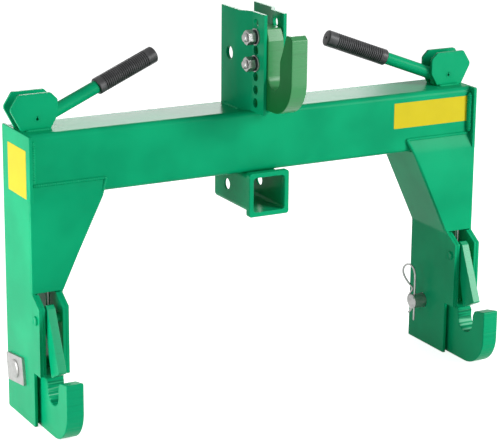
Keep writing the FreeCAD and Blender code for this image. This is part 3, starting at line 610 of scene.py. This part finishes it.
def plated(name, base, roughness=0.36):
    """Plated steel: cloudy brightness, drawn scratches and darker stains."""
    recipe = Recipe(name)
    cloud = recipe.noise(CLOUD_SCALE, 4.0)
    stain = recipe.noise(STAIN_SCALE, 3.0).ramp(*STAIN_BAND)
    tone = recipe.mix(cloud.ramp(*CLOUD_BAND), times(base, CLOUD_DARK), base)
    tone = recipe.mix(stain * STAIN_SHARE, tone, times(base, STAIN_DARK))
    scratch = recipe.noise(1.0, 3.0, recipe.stretched(SCRATCH_STRETCH, SCRATCH_TURN))
    rough = cloud * CLOUD_ROUGH + (roughness - CLOUD_SET) + stain * STAIN_ROUGH
    return recipe.surface(
        Base_Color=tone, Roughness=rough, Metallic=1.0,
        Normal=recipe.bump(scratch + cloud * 0.5, SCRATCH_DEPTH, 0.6),
    )


DUST_SCALE = 900.0
DUST_BAND = (0.62, 0.85)
DUST_SHARE = 0.2
DUST_COLOUR = (0.75, 0.7, 0.5)
FADE_SCALE = 25.0
FADE_BAND = (0.3, 0.8)
FADE_DARK = 0.93
SHEET_ROUGH = 0.34
SHEET_SHEEN = 0.15
WAVE_SCALE = 130.0
WAVE_DEPTH = 0.1 * MM


def vinyl(name, base):
    """Bare yellow sheet: smooth, with a slight waviness and faint dust."""
    recipe = Recipe(name)
    dust = recipe.noise(DUST_SCALE, 3.0).ramp(*DUST_BAND)
    faded = recipe.noise(FADE_SCALE).ramp(*FADE_BAND)
    tone = recipe.mix(faded, base, times(base, FADE_DARK))
    tone = recipe.mix(dust * DUST_SHARE, tone, DUST_COLOUR)
    return recipe.surface(
        Base_Color=tone, Roughness=dust * 0.2 + SHEET_ROUGH, Specular_IOR_Level=SHEET_SHEEN,
        Normal=recipe.bump(recipe.noise(WAVE_SCALE), WAVE_DEPTH, 0.35),
    )


def finish(name):
    """The material of that name, made the first time that it is asked for."""
    made = bpy.data.materials.get(name)
    if made:
        return made
    c = colour()
    makers = {
        "green_gloss_paint": lambda: paint(name, c.paint),
        "green_cut_plate_paint": lambda: paint(name, c.paint, 0.3, True),
        "green_lower_hook_paint": lambda: paint(name, c.paint, 0.3, True, coat=LOWER_HOOK_COAT),
        "dark_green_hook_paint": lambda: paint(
            name, c.hook_paint, 0.36, True, TOP_HOOK_PAINTED_LIGHT, TOP_HOOK_COAT
        ),
        "grip_rubber": lambda: rubber(name, c.rubber),
        "bright_zinc": lambda: plated(name, c.zinc),
        "blackened_steel": lambda: plated(name, c.black_steel, 0.45),
        "spring_wire": lambda: plated(name, times(c.zinc, 0.7), 0.35),
        "yellow_sheet": lambda: vinyl(name, c.yellow),
    }
    return makers[name]()


# Pieces


class HITCH_OT_welded_frame(bpy.types.Operator):
    """Beam, legs, ears, brackets, mast plates and receiver with rounded, painted edges"""

    bl_idname = "hitch.welded_frame"
    bl_label = "Welded Frame"

    def execute(self, context):
        names = ["main_beam", "left_mast_plate", "right_mast_plate", "receiver_tube"]
        names += ["receiver_collar"]
        names += pair("end_plate", "leg_front_plate", "leg_inner_plate", "outer_ear", "inner_ear")
        names += pair("lever_front_bracket", "lever_rear_bracket")
        for name in names:
            soften(name, finish("green_gloss_paint"), shape().edge_width)
        return {"FINISHED"}


class HITCH_OT_hooks(bpy.types.Operator):
    """Lower hooks and top hook, cut from thick plate"""

    bl_idname = "hitch.hooks"
    bl_label = "Hooks"

    def execute(self, context):
        for name in pair("lower_hook"):
            soften(name, finish("green_lower_hook_paint"), shape().hook_edge, 3)
        soften("top_hook", finish("dark_green_hook_paint"), shape().hook_edge, 3)
        return {"FINISHED"}


class HITCH_OT_latches(bpy.types.Operator):
    """Latches, their pins and the pull rods with collars and springs"""

    bl_idname = "hitch.latches"
    bl_label = "Latches"

    def execute(self, context):
        for name in pair("latch"):
            soften(name, finish("green_cut_plate_paint"), shape().edge_width)
        for name in pair("latch_pin"):
            soften(name, finish("green_gloss_paint"), shape().edge_width / 2)
        for name in pair("pull_rod", "rod_collar"):
            dress(name, finish("bright_zinc"))
        for side in SIDES:
            node = f"{side}_return_spring"
            mesh = frame["nodes"][node].data.copy()
            wire = finish("spring_wire")
            spring = hang(f"{side}_coil_spring", mesh, wire, "frame", [node])
            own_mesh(spring)
        return {"FINISHED"}


class HITCH_OT_levers(bpy.types.Operator):
    """Lever cams, round handles and the spring pins they turn on"""

    bl_idname = "hitch.levers"
    bl_label = "Levers"

    def execute(self, context):
        for name in pair("lever_cam", "lever_rod"):
            soften(name, finish("green_gloss_paint"), shape().edge_width)
        for name in pair("lever_pivot_pin"):
            dress(name, finish("green_gloss_paint"))
        return {"FINISHED"}


LEVER_RISE = math.radians(20.7)
LEVER_LEAN = math.radians(7.7)
LEVER_ROOT = 24.0 * MM
LEVER_TIP = 202.0 * MM
LEVER_DROP = 6.0 * MM
HANDLE_SET = 0.4 * MM
HANDLE_RADIUS = 9.25 * MM
GRIP_LENGTH = 102.5 * MM
GRIP_RADIUS = 12.25 * MM
GRIP_END = 3.0 * MM


def lever_axis(side):
    """Start of a handle's axis and its direction, from the lever's pivot and its slopes."""
    sign = SIDES[side]
    pivot = np.array(JOINTS[f"{side}_lever_turn"]["pos_m"])
    pivot[1] = (BEAM_LOW.y + BEAM_HIGH.y) / 2 - HANDLE_SET
    along = np.array([-sign * math.cos(LEVER_RISE), 0, math.sin(LEVER_RISE)])
    upwards = np.array([sign * math.sin(LEVER_RISE), 0, math.cos(LEVER_RISE)])
    axis = along * math.cos(LEVER_LEAN) + np.array([0, math.sin(LEVER_LEAN), 0])
    return pivot + along * LEVER_ROOT - upwards * LEVER_DROP, axis


GRIP_STEPS = 420
GRIP_ROUND = 2.2 * MM
RIB_SHARPNESS = 0.7
RIB_FADE = 1.0 * MM
DIMPLE_RADIUS = 2.0 * MM
DIMPLE_DEPTH = 5.0 * MM


class HITCH_OT_grips(bpy.types.Operator):
    """Ribbed rubber sleeves on the handles"""

    bl_idname = "hitch.grips"
    bl_label = "Grips"

    def execute(self, context):
        for side in SIDES:
            start, axis = lever_axis(side)
            tip = (LEVER_TIP - LEVER_ROOT) / math.cos(LEVER_LEAN) + GRIP_END
            s = np.linspace(0, GRIP_LENGTH, GRIP_STEPS)
            foot = start + axis * (tip - GRIP_LENGTH)
            rows = revolve(foot, axis, *grip_profile(s), shape().sides)
            piece = new_piece(
                f"{side}_ribbed_grip", [skin(rows)], finish("grip_rubber"), f"{side}_lever",
                [f"{side}_lever_grip"], sharp=WIRE_SHARP,
            )
            mark_grooves(piece.data, start, axis)
        return {"FINISHED"}


def mark_grooves(mesh, start, axis):
    """Stores how deep each point lies in a groove: (R - distance from the axis) / h, 0 to 1.

    The rubber draws its painted shade by this depth.
    """
    points = np.empty(len(mesh.vertices) * 3)
    mesh.vertices.foreach_get("co", points)
    radius = np.linalg.norm(np.cross(points.reshape(-1, 3) - start, axis), axis=1)
    depth = np.clip((GRIP_RADIUS - radius) / shape().rib_height, 0, 1)
    mesh.attributes.new(GROOVE, "FLOAT", "POINT").data.foreach_set("value", depth)


def grip_profile(s):
    """Radius along a grip: rounded ribs r - h |sin|, faded out at the collar and the tip."""
    sizes = shape()
    ribbed_from = sizes.grip_collar
    ribbed_to = GRIP_LENGTH - sizes.grip_tip
    inside = np.clip((s - ribbed_from) / RIB_FADE, 0, 1)
    inside = inside * np.clip((ribbed_to - s) / RIB_FADE, 0, 1)
    wave = 1 - np.abs(np.sin(np.pi * (s - ribbed_from) / sizes.rib_pitch)) ** RIB_SHARPNESS
    radius = GRIP_RADIUS - sizes.rib_height * wave * inside
    for end in (s, GRIP_LENGTH - s):
        left = np.clip(1 - end / GRIP_ROUND, 0, 1)
        radius = radius - GRIP_ROUND * (1 - np.sqrt(1 - left ** 2))
    along = np.concatenate([[DIMPLE_DEPTH, 0], s, [GRIP_LENGTH, GRIP_LENGTH - DIMPLE_DEPTH]])
    radius = np.concatenate([[HANDLE_RADIUS] * 2, radius, [DIMPLE_RADIUS] * 2])
    return along, radius


class HITCH_OT_lift_pins(bpy.types.Operator):
    """Lift arm pins with rectangular heads and their hairpin clips"""

    bl_idname = "hitch.lift_pins"
    bl_label = "Lift Arm Pins"

    def execute(self, context):
        for name in pair("lift_pin"):
            soften(name, finish("bright_zinc"), shape().edge_width)
        for side in SIDES:
            new_piece(
                f"{side}_hairpin", [skin(clip_rows(side))], finish("bright_zinc"), f"{side}_clip",
                [f"{side}_lift_pin_clip"], sharp=WIRE_SHARP,
            )
        return {"FINISHED"}


CLIP_WIRE = 3.2 * MM
CLIP_TURN = math.radians(76)
CLIP_LEG = ((0.0, -31.5), (0.0, -16.0), (0.0, 0.0), (0.0, 16.0), (0.0, 32.0), (0.3, 44.0))
CLIP_LOOP = ((3.6, 52.6), (10.2, 57.2), (18.4, 56.2), (24.6, 50.0), (25.6, 42.0))
CLIP_WAVE = ((21.6, 34.4), (13.6, 27.0), (6.4, 22.2), (5.0, 18.6), (8.6, 12.4), (12.9, 5.0),
             (13.2, -3.0), (8.8, -10.0), (5.6, -13.8), (7.8, -17.4), (12.2, -21.4))
CLIP_STEPS = 12
CLIP_SIDES = 14
CLIP_BLUNT = 0.6


def clip_rows(side):
    """Hairpin wire: a Catmull-Rom curve through its bends, with a round section and blunt ends."""
    low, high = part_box(f"{side}_lift_pin_clip")
    sign = SIDES[side]
    leg_x = sign * (max(abs(low.x), abs(high.x)) - CLIP_WIRE / 2)
    pin_low, pin_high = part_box(f"{side}_lift_pin")
    base = np.array([leg_x, low.y + CLIP_WIRE / 2, (pin_low.z + pin_high.z) / 2])
    flat = np.array(CLIP_LEG + CLIP_LOOP + CLIP_WAVE) * MM
    flat = np.vstack([2 * flat[0] - flat[1], flat, 2 * flat[-1] - flat[-2]])
    t = np.linspace(0, 1, CLIP_STEPS, endpoint=False)[:, None, None]
    a, b, c, d = flat[:-3], flat[1:-2], flat[2:-1], flat[3:]
    curve = 0.5 * (2 * b + (c - a) * t + (2 * a - 5 * b + 4 * c - d) * t ** 2
                   + (3 * b - a - 3 * c + d) * t ** 3)
    flat = np.vstack([curve.transpose(1, 0, 2).reshape(-1, 2), flat[-2]])
    out = np.array([-sign * math.cos(CLIP_TURN), math.sin(CLIP_TURN), 0.0])
    path = base + flat[:, :1] * out + flat[:, 1:] * UP
    radius = np.full(len(path), CLIP_WIRE / 2)
    radius[[0, -1]] *= CLIP_BLUNT
    return sweep(path, radius, CLIP_SIDES, np.cross(out, UP))


BOLT_FLATS = 19.05 * MM
BOLT_RADIUS = 6.35 * MM
BOLT_HEAD = 7.5 * MM
NUT_TURN = math.radians(22)
NUT_SEAT = 1.0 * MM
HEXAGON_SIDES = 72
HEXAGON_CONE = math.tan(math.radians(30))
CONE_FROM = 0.985
FACE_RIM = 0.97
UNDERSIDE_CONE = 0.5
THREAD_SIDES = 48
THREAD_STEPS = 14
THREAD_DEPTH = 0.5
THREAD_LEAD = 1.2 * MM
WASHER_EDGE = 0.3 * MM


def hexagon_rows(start, axis, height, flats, bore, facing):
    """A hexagon whose outer end is cut by a cone: z = h - (r(a) - f / 2) tan 30, at most h."""
    turn = np.linspace(0, 2 * np.pi, HEXAGON_SIDES, endpoint=False)
    apothem = flats / 2
    reach = apothem / np.cos((turn + facing) % (np.pi / 3) - np.pi / 6)
    cut = np.maximum(reach - apothem * CONE_FROM, 0) * HEXAGON_CONE
    full = np.ones(HEXAGON_SIDES)
    face = full * apothem * FACE_RIM
    along = [full * 0, full * 0, cut * UNDERSIDE_CONE, height - cut, full * height, full * height]
    radius = [full * bore, face, reach, reach, face, full * bore]
    axis = np.asarray(axis, float)
    u, v = square_axes(axis, UP)
    ring = np.cos(turn)[:, None] * u + np.sin(turn)[:, None] * v
    levels = zip(along, radius)
    rows = [np.asarray(start) + z[:, None] * axis + r[:, None] * ring for z, r in levels]
    return np.array(rows)


def thread_rows(start, axis, length, radius, pitch):
    """A thread: r(a, s) = R - d |saw| with the saw running once round per pitch."""
    s = np.linspace(0, length, int(length / pitch * THREAD_STEPS))[:, None]
    turn = np.linspace(0, 2 * np.pi, THREAD_SIDES, endpoint=False)[None, :]
    saw = np.abs(((s / pitch + turn / (2 * np.pi)) % 1.0) - 0.5) * 2
    r = radius - pitch * THREAD_DEPTH * saw
    r = r - np.clip(s - (length - THREAD_LEAD), 0, None)
    axis = np.asarray(axis, float)
    u, v = square_axes(axis, UP)
    ring = np.cos(turn)[..., None] * u + np.sin(turn)[..., None] * v
    return np.asarray(start) + s[..., None] * axis + r[..., None] * ring


class HITCH_OT_fasteners(bpy.types.Operator):
    """Bolts, nuts and washers of the top hook"""

    bl_idname = "hitch.fasteners"
    bl_label = "Fasteners"

    def execute(self, context):
        bolts_low, bolts_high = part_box("top_hook_bolts")
        nuts_low, nuts_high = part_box("top_hook_nuts")
        y = (nuts_low.y + nuts_high.y) / 2
        corner = BOLT_FLATS / math.sqrt(3)
        seat = nuts_low.x + NUT_SEAT
        head_from = bolts_high.x - BOLT_HEAD
        nut = nuts_high.x - nuts_low.x
        bolts, nuts = [], []
        for z in (nuts_low.z + corner, nuts_high.z - corner):
            bolts.append(skin(revolve(
                (seat, y, z), (1, 0, 0), [0, head_from - seat], [BOLT_RADIUS] * 2, THREAD_SIDES
            )))
            bolts.append(skin(thread_rows(
                (seat, y, z), (-1, 0, 0), seat - bolts_low.x, BOLT_RADIUS, shape().thread_pitch
            )))
            bolts.append(skin(hexagon_rows(
                (head_from, y, z), (1, 0, 0), BOLT_HEAD, BOLT_FLATS, MM, math.pi / 6
            )))
            nuts.append(skin(hexagon_rows(
                (nuts_high.x, y, z), (-1, 0, 0), nut, BOLT_FLATS, BOLT_RADIUS, NUT_TURN
            )))
        zinc = finish("bright_zinc")
        for name, skins in (("bolts", bolts), ("nuts", nuts)):
            new_piece(
                f"hook_{name}", skins, zinc, "frame", [f"top_hook_{name}"],
                THREAD_SHARP,
            )
        soften("top_hook_flat_washers", zinc, WASHER_EDGE)
        soften("top_hook_lock_washers", finish("blackened_steel"), WASHER_EDGE)
        return {"FINISHED"}


WELD_BESIDE = 2.6 * MM
WELD_PROUD = 2.4 * MM
CORNER_WELD = 1.7
LEG_BEND_X = 319.2 * MM
LEG_BEND_Z = 196.0 * MM
FLANGE_RISE = 22.5 * MM
WELD_SIDES = 14
WELD_STEPS = 7
WELD_DIP = 0.26
WELD_SHARPNESS = 0.5
WELD_TAPER = 0.9
WELD_LEAST = 8
MAST_WELD_END = 55.0 * MM
BRACKET_WELD_FROM = 12.0 * MM
BRACKET_WELD_STOP = 6.0 * MM
BEAM_WELD_STOP = 8.0 * MM
HOOK_WELD_FROM = 12.0 * MM
HOOK_WELD_STOP = 20.0 * MM
RECEIVER_WELD_IN = 4.0 * MM
RECEIVER_WELD_FROM = 10.0 * MM
RECEIVER_WELD_STOP = 22.0 * MM
LEVER_WELD_LEG = 0.8
LEVER_WELD_SINK = 0.9
LEVER_WELD_STEPS = 90
LEVER_WELD_REFERENCE = np.array([0.1, 1.0, 0.1])


def weld_rows(points, leg, pitch):
    """A rope of weld: a round section whose radius ripples by |sin| once per pitch."""
    points = np.asarray(points, float)
    steps = np.linalg.norm(np.diff(points, axis=0), axis=1)
    length = np.concatenate([[0], np.cumsum(steps)])
    s = np.linspace(0, length[-1], max(WELD_LEAST, int(length[-1] / pitch * WELD_STEPS)))
    path = np.stack([np.interp(s, length, points[:, k]) for k in range(3)], -1)
    ripple = np.abs(np.sin(np.pi * s / pitch)) ** WELD_SHARPNESS
    ends = np.clip(np.minimum(s, length[-1] - s) / leg, 0, 1)
    radius = leg * (1 - WELD_DIP * (1 - ripple)) * np.sqrt(1 - (1 - ends) ** 2 * WELD_TAPER)
    return sweep(path, radius, WELD_SIDES)


def mast_runs(leg):
    """A bead outside each mast plate, on the beam's top."""
    runs = []
    for low, high in (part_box("left_mast_plate"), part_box("right_mast_plate")):
        outer = max(low.x, high.x, key=abs)
        runs.append([(outer, high.y - 3 * leg, TOP), (outer, high.y - MAST_WELD_END, TOP)])
    return runs


def lever_runs(side, leg):
    """Two beads before a lever's front bracket and one behind its rear bracket."""
    low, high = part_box(f"{side}_lever_front_bracket")
    x0 = SIDES[side] * (min(abs(low.x), abs(high.x)) + BRACKET_WELD_FROM)
    x1 = SIDES[side] * (BEAM_HIGH.x - BRACKET_WELD_STOP)
    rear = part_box(f"{side}_lever_rear_bracket")[1].y
    return [[(x0, y, TOP), (x1, y, TOP)] for y in (low.y, low.y - leg, rear)]


def leg_runs(side, leg):
    """The bead round a leg's front plate, and the one up the beam's back corner."""
    sign = SIDES[side]
    plate_low, plate_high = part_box(f"{side}_leg_front_plate")
    inner = min(plate_low.x, plate_high.x, key=abs)
    foot = min(*(end.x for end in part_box(f"{side}_leg_inner_plate")), key=abs)
    bend = sign * LEG_BEND_X
    fold_z = plate_high.z - FLANGE_RISE
    foot_x = bend - (fold_z - LEG_BEND_Z) * (bend - foot) / (BEAM_LOW.z - LEG_BEND_Z)
    edge = sign * BEAM_HIGH.x
    return [
        [
            (sign * (BEAM_HIGH.x - leg), BEAM_LOW.y, plate_high.z),
            (inner, BEAM_LOW.y, plate_high.z),
            (foot_x, plate_low.y + leg, fold_z),
            (bend, plate_low.y + 2 * leg, LEG_BEND_Z),
        ],
        [(edge, BEAM_HIGH.y, z) for z in (BEAM_LOW.z + BEAM_WELD_STOP, TOP - BEAM_WELD_STOP)],
    ]


def corner_run(side, leg):
    """The heavier bead between a leg's end plate and the beam's front."""
    x = SIDES[side] * (BEAM_HIGH.x - WELD_BESIDE)
    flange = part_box(f"{side}_leg_front_plate")[1].z
    return [(x, BEAM_LOW.y - WELD_PROUD, z) for z in (flange + leg, TOP - BEAM_WELD_STOP)]


def hook_runs(side):
    """Beads up both sides of a lower hook's back."""
    low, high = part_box(f"{side}_lower_hook")
    heights = (HOOK_WELD_FROM, high.z - HOOK_WELD_STOP)
    return [[(x, high.y, z) for z in heights] for x in (low.x, high.x)]


def receiver_runs():
    """Beads along both sides of the receiver's top."""
    low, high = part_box("receiver_tube")
    reach = (BEAM_LOW.y + RECEIVER_WELD_FROM, high.y - RECEIVER_WELD_STOP)
    sides = (low.x + RECEIVER_WELD_IN, high.x - RECEIVER_WELD_IN)
    return [[(x, y, high.z) for y in reach] for x in sides]


class HITCH_OT_welds(bpy.types.Operator):
    """Fillet welds that join the plates, under the paint"""

    bl_idname = "hitch.welds"
    bl_label = "Welds"

    def execute(self, context):
        leg = shape().weld_leg
        pitch = shape().weld_pitch
        runs = mast_runs(leg)
        for side in SIDES:
            runs += lever_runs(side, leg) + leg_runs(side, leg) + hook_runs(side)
        runs += receiver_runs()
        corner_runs = [corner_run(side, leg) for side in SIDES]
        skins = [skin(weld_rows(run, leg, pitch)) for run in runs]
        skins += [skin(weld_rows(run, CORNER_WELD * leg, pitch)) for run in corner_runs]
        paint = finish("green_gloss_paint")
        new_piece("frame_welds", skins, paint, "frame", sharp=WELD_SHARP)
        for side in SIDES:
            start, axis = lever_axis(side)
            turn = np.linspace(0, 2 * np.pi, LEVER_WELD_STEPS)[:, None]
            u, v = square_axes(axis, LEVER_WELD_REFERENCE)
            ring = start + (np.cos(turn) * u + np.sin(turn) * v) * HANDLE_RADIUS * LEVER_WELD_SINK
            rows = weld_rows(ring + axis * MM, leg * LEVER_WELD_LEG, pitch)
            new_piece(
                f"{side}_lever_weld", [skin(rows)], paint, f"{side}_lever",
                sharp=WELD_SHARP,
            )
        return {"FINISHED"}


CORNER_STEPS = 8
EASE_REACH = 4


def sheet_rows(centre, across, up, out, width, height, corner, thickness):
    """A thin plate: a rounded rectangle, its edge eased, from its middle to its back."""
    turn = np.linspace(0, np.pi / 2, CORNER_STEPS)
    quarter = np.stack([np.cos(turn), np.sin(turn)], -1) * corner
    half = np.array([width / 2 - corner, height / 2 - corner])
    flips = [((1, 1), 1), ((-1, 1), -1), ((-1, -1), 1), ((1, -1), -1)]
    outline = np.vstack([(quarter[::step] + half) * flip for flip, step in flips])
    across, up, out = (np.asarray(a, float) for a in (across, up, out))
    ease = thickness / 2
    deep = ease * EASE_REACH
    levels = (0, 0, thickness - ease, thickness, thickness)
    rows = []
    for inset, level in zip((deep, 0, 0, ease, deep), levels):
        scale = 1 - inset * 2 / np.array([width, height])
        flat = outline * scale
        rows.append(np.asarray(centre) + flat[:, :1] * across + flat[:, 1:] * up + out * level)
    return np.array(rows)


def plate_rows(outline, x0, x1, ease):
    """A flat plate along X: its outline at each face, drawn in by an eased edge."""
    outline = np.asarray(outline)
    middle = outline.mean(0)
    reach = np.abs(outline - middle).max(0)
    rows = []
    for x, inset in ((x0, ease), (x0 + ease, 0), (x1 - ease, 0), (x1, ease)):
        flat = middle + (outline - middle) * (1 - inset / reach)
        rows.append(np.column_stack([np.full(len(flat), x), flat]))
    return np.array(rows)


EAR_STEP = 82.0 * MM
EAR_SHOULDER = 180.0 * MM
EAR_HEAD = 194.5 * MM
HEAD_SET = 0.6 * MM
PIVOT_BACK = 12.5 * MM
PIVOT_Z = 161.0 * MM
PIVOT_ALONG = np.array([0, 1.6, 2.6, 2.2, 2.2]) * MM
PIVOT_RADIUS = np.array([7.0, 6.7, 5.6, 4.8, 0.3]) * MM
PLATE_THICK = 4.8 * MM


class HITCH_OT_cheeks(bpy.types.Operator):
    """Fronts of the leg plates beside the ears, flush with the legs, and the latch pins' ends"""

    bl_idname = "hitch.cheeks"
    bl_label = "Cheeks"

    def execute(self, context):
        ease = shape().edge_width / 2
        for side, sign in SIDES.items():
            for ear, plate in (("outer_ear", "end_plate"), ("inner_ear", "leg_inner_plate")):
                low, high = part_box(f"{side}_{ear}")
                leg_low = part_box(f"{side}_{plate}")[0]
                outwards = 1 if (ear == "outer_ear") == (sign > 0) else -1
                seat = high.x if outwards > 0 else low.x
                face = seat + outwards * PLATE_THICK
                back = leg_low.y + shape().edge_width
                outline = [
                    (back, EAR_STEP), (low.y, EAR_STEP), (low.y, EAR_SHOULDER),
                    (leg_low.y + HEAD_SET, EAR_HEAD), (back, EAR_HEAD),
                ]
                rows = plate_rows(outline, seat, face, outwards * ease)
                new_piece(
                    f"{side}_{ear}_cheek", [skin(rows)], finish("green_gloss_paint"), "frame",
                    sharp=CHEEK_SHARP,
                )
                rows = revolve(
                    (face, low.y + PIVOT_BACK, PIVOT_Z), (outwards, 0, 0), PIVOT_ALONG,
                    PIVOT_RADIUS, shape().sides,
                )
                new_piece(
                    f"{side}_{ear}_pin_end", [skin(rows)], finish("green_gloss_paint"), "frame",
                )
        return {"FINISHED"}


SHEET_CORNER = 1.5 * MM
FRONT_SHEET_AT = (289.2 * MM, 384.9 * MM)
FRONT_SHEET = (132.5 * MM, 38.8 * MM)
SIDE_SHEET_AT = (35.7 * MM, 362.0 * MM)
SIDE_SHEET = (65.5 * MM, 68.0 * MM)


class HITCH_OT_bare_plates(bpy.types.Operator):
    """Two bare yellow plates, on the beam's front and on the left leg"""

    bl_idname = "hitch.bare_plates"
    bl_label = "Bare Plates"

    def execute(self, context):
        thickness = shape().plate_thickness
        x, z = FRONT_SHEET_AT
        front = sheet_rows(
            (x, BEAM_LOW.y, z), (1, 0, 0), UP, (0, -1, 0), *FRONT_SHEET, SHEET_CORNER, thickness
        )
        back, z = SIDE_SHEET_AT
        place = (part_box("left_end_plate")[0].x, BEAM_LOW.y + back, z)
        side = sheet_rows(place, (0, -1, 0), UP, (-1, 0, 0), *SIDE_SHEET, SHEET_CORNER, thickness)
        for name, rows in (("front_yellow_plate", front), ("side_yellow_plate", side)):
            skins = [skin(rows)]
            sheet = finish("yellow_sheet")
            new_piece(name, skins, sheet, "frame", sharp=SHEET_SHARP)
        return {"FINISHED"}


# Stage


LAMPS = (
    ("key_lamp", (2.3, -2.45, 1.3), (0, 0, 0.25), (1.3, 2.1), 106),
    ("left_lamp", (-0.8, 0.02, 0.28), (-0.36, 0.04, 0.28), (0.3, 0.55), 3.2),
    ("back_lamp", (0.8, 1.9, 0.9), (-0.1, 0, 0.417), (1.0, 0.5), 6.0),
)
ROOM_LIGHT = 0.32
FLOOR_TONE = 0.8
FLOOR_GLOW = 0.82
FLOOR_REACH = 9.0
FLOOR_SET = 0.4 * MM
SENSOR_WIDTH = 36.0
FAR = 50.0


def lamp(name, place, target, size, power):
    """A soft square lamp that the camera doesn't see."""
    light = bpy.data.lights.new(name, "AREA")
    light.shape = "RECTANGLE"
    light.size, light.size_y = size
    light.energy = power
    holder = bpy.data.objects.new(name, light)
    bpy.context.scene.collection.objects.link(holder)
    holder.location = place
    holder.rotation_euler = (Vector(target) - Vector(place)).to_track_quat("-Z", "Y").to_euler()
    holder.visible_camera = False


def seen_straight(tree):
    """1 on rays of the camera, of reflections and through glass, and 0 on rays of light."""
    path = tree.nodes.new("ShaderNodeLightPath")
    names = ("Is Camera Ray", "Is Glossy Ray", "Is Transmission Ray")
    camera, glossy, through = (Shade(tree, path.outputs[name]) for name in names)
    seen = camera.math("MAXIMUM", camera, glossy)
    return seen.math("MAXIMUM", seen, through)


def stage_material(name):
    """White floor: white to the camera and in reflections, with the hitch's own faint shadow."""
    recipe = Recipe(name)
    plain = recipe.node("ShaderNodeBsdfDiffuse", {"Color": [FLOOR_TONE] * 3})
    glow = recipe.node("ShaderNodeEmission", {"Color": (1, 1, 1), "Strength": FLOOR_GLOW})
    both = recipe.node("ShaderNodeAddShader", {0: plain, 1: glow})
    share = seen_straight(recipe.tree)
    chosen = recipe.node("ShaderNodeMixShader", {0: share, 1: plain, 2: both})
    recipe.node("ShaderNodeOutputMaterial", {"Surface": chosen})
    return recipe.material


class HITCH_OT_stage(bpy.types.Operator):
    """White floor, soft lamps and the camera"""

    bl_idname = "hitch.stage"
    bl_label = "Stage"

    def execute(self, context):
        scene = context.scene
        scene.view_settings.view_transform = "Standard"
        settings = scene.hitch_stage
        camera = bpy.data.objects.new("camera", bpy.data.cameras.new("camera"))
        scene.collection.objects.link(camera)
        scene.camera = camera
        camera.data.lens = settings.lens
        camera.data.sensor_width = SENSOR_WIDTH
        camera.data.clip_end = FAR
        middle = Vector((0, BEAM_LOW.y, FLOOR_Z))
        camera.location = middle + Vector(settings.place)
        camera.rotation_euler = (
            Matrix.Rotation(-settings.yaw, 3, "Z")
            @ Matrix.Rotation(math.pi / 2 - settings.pitch, 3, "X")
            @ Matrix.Rotation(settings.roll, 3, "Z")
        ).to_euler()
        mesh = bpy.data.meshes.new("floor")
        corners = [(-1, -1), (1, -1), (1, 1), (-1, 1)]
        points = [(x * FLOOR_REACH, y * FLOOR_REACH, FLOOR_Z - FLOOR_SET) for x, y in corners]
        mesh.from_pydata(points, [], [(0, 1, 2, 3)])
        floor = bpy.data.objects.new("floor", mesh)
        scene.collection.objects.link(floor)
        mesh.materials.append(stage_material("white_floor"))
        for values in LAMPS:
            lamp(*values)
        world_light(scene)
        return {"FINISHED"}


def world_light(scene):
    """An even pale room: white to the camera and in reflections, dimmer as light."""
    world = bpy.data.worlds.new("room")
    scene.world = world
    world.use_nodes = True
    tree = world.node_tree
    tree.nodes.clear()
    background = tree.nodes.new("ShaderNodeBackground")
    plug(tree, background.inputs["Color"], (1, 1, 1))
    strength = seen_straight(tree) * (1 - ROOM_LIGHT) + ROOM_LIGHT
    plug(tree, background.inputs["Strength"], strength)
    output = tree.nodes.new("ShaderNodeOutputWorld")
    tree.links.new(background.outputs[0], output.inputs["Surface"])


class HITCH_PT_panel(bpy.types.Panel):
    """Sizes, colours and pieces of the hitch"""

    bl_idname = "HITCH_PT_panel"
    bl_label = "Quick Hitch"
    bl_space_type = "VIEW_3D"
    bl_region_type = "UI"
    bl_category = "Quick Hitch"

    def draw(self, context):
        for group in (getattr(context.scene, name) for name in GROUPS):
            box = self.layout.box()
            for name in group.bl_rna.properties.keys():
                if name not in ("rna_type", "name"):
                    box.prop(group, name)
        for operator in OPERATORS:
            self.layout.operator(operator.bl_idname)


OPERATORS = (
    HITCH_OT_stage,
    HITCH_OT_welded_frame,
    HITCH_OT_hooks,
    HITCH_OT_latches,
    HITCH_OT_levers,
    HITCH_OT_grips,
    HITCH_OT_lift_pins,
    HITCH_OT_fasteners,
    HITCH_OT_welds,
    HITCH_OT_cheeks,
    HITCH_OT_bare_plates,
)
GROUPS = {"hitch_shape": HitchShape, "hitch_colour": HitchColour, "hitch_stage": HitchStage}


def register():
    """Registers the classes and hangs the properties on the scene."""
    for cls in (*GROUPS.values(), *OPERATORS, HITCH_PT_panel):
        bpy.utils.register_class(cls)
    for name, cls in GROUPS.items():
        setattr(bpy.types.Scene, name, PointerProperty(type=cls))


def unregister():
    """Takes everything back out."""
    for name in GROUPS:
        delattr(bpy.types.Scene, name)
    for cls in reversed((*GROUPS.values(), *OPERATORS, HITCH_PT_panel)):
        bpy.utils.unregister_class(cls)


def main():
    """Makes every piece."""
    register()
    for operator in OPERATORS:
        group, name = operator.bl_idname.split(".")
        getattr(getattr(bpy.ops, group), name)()


if __name__ == "__main__":
    main()
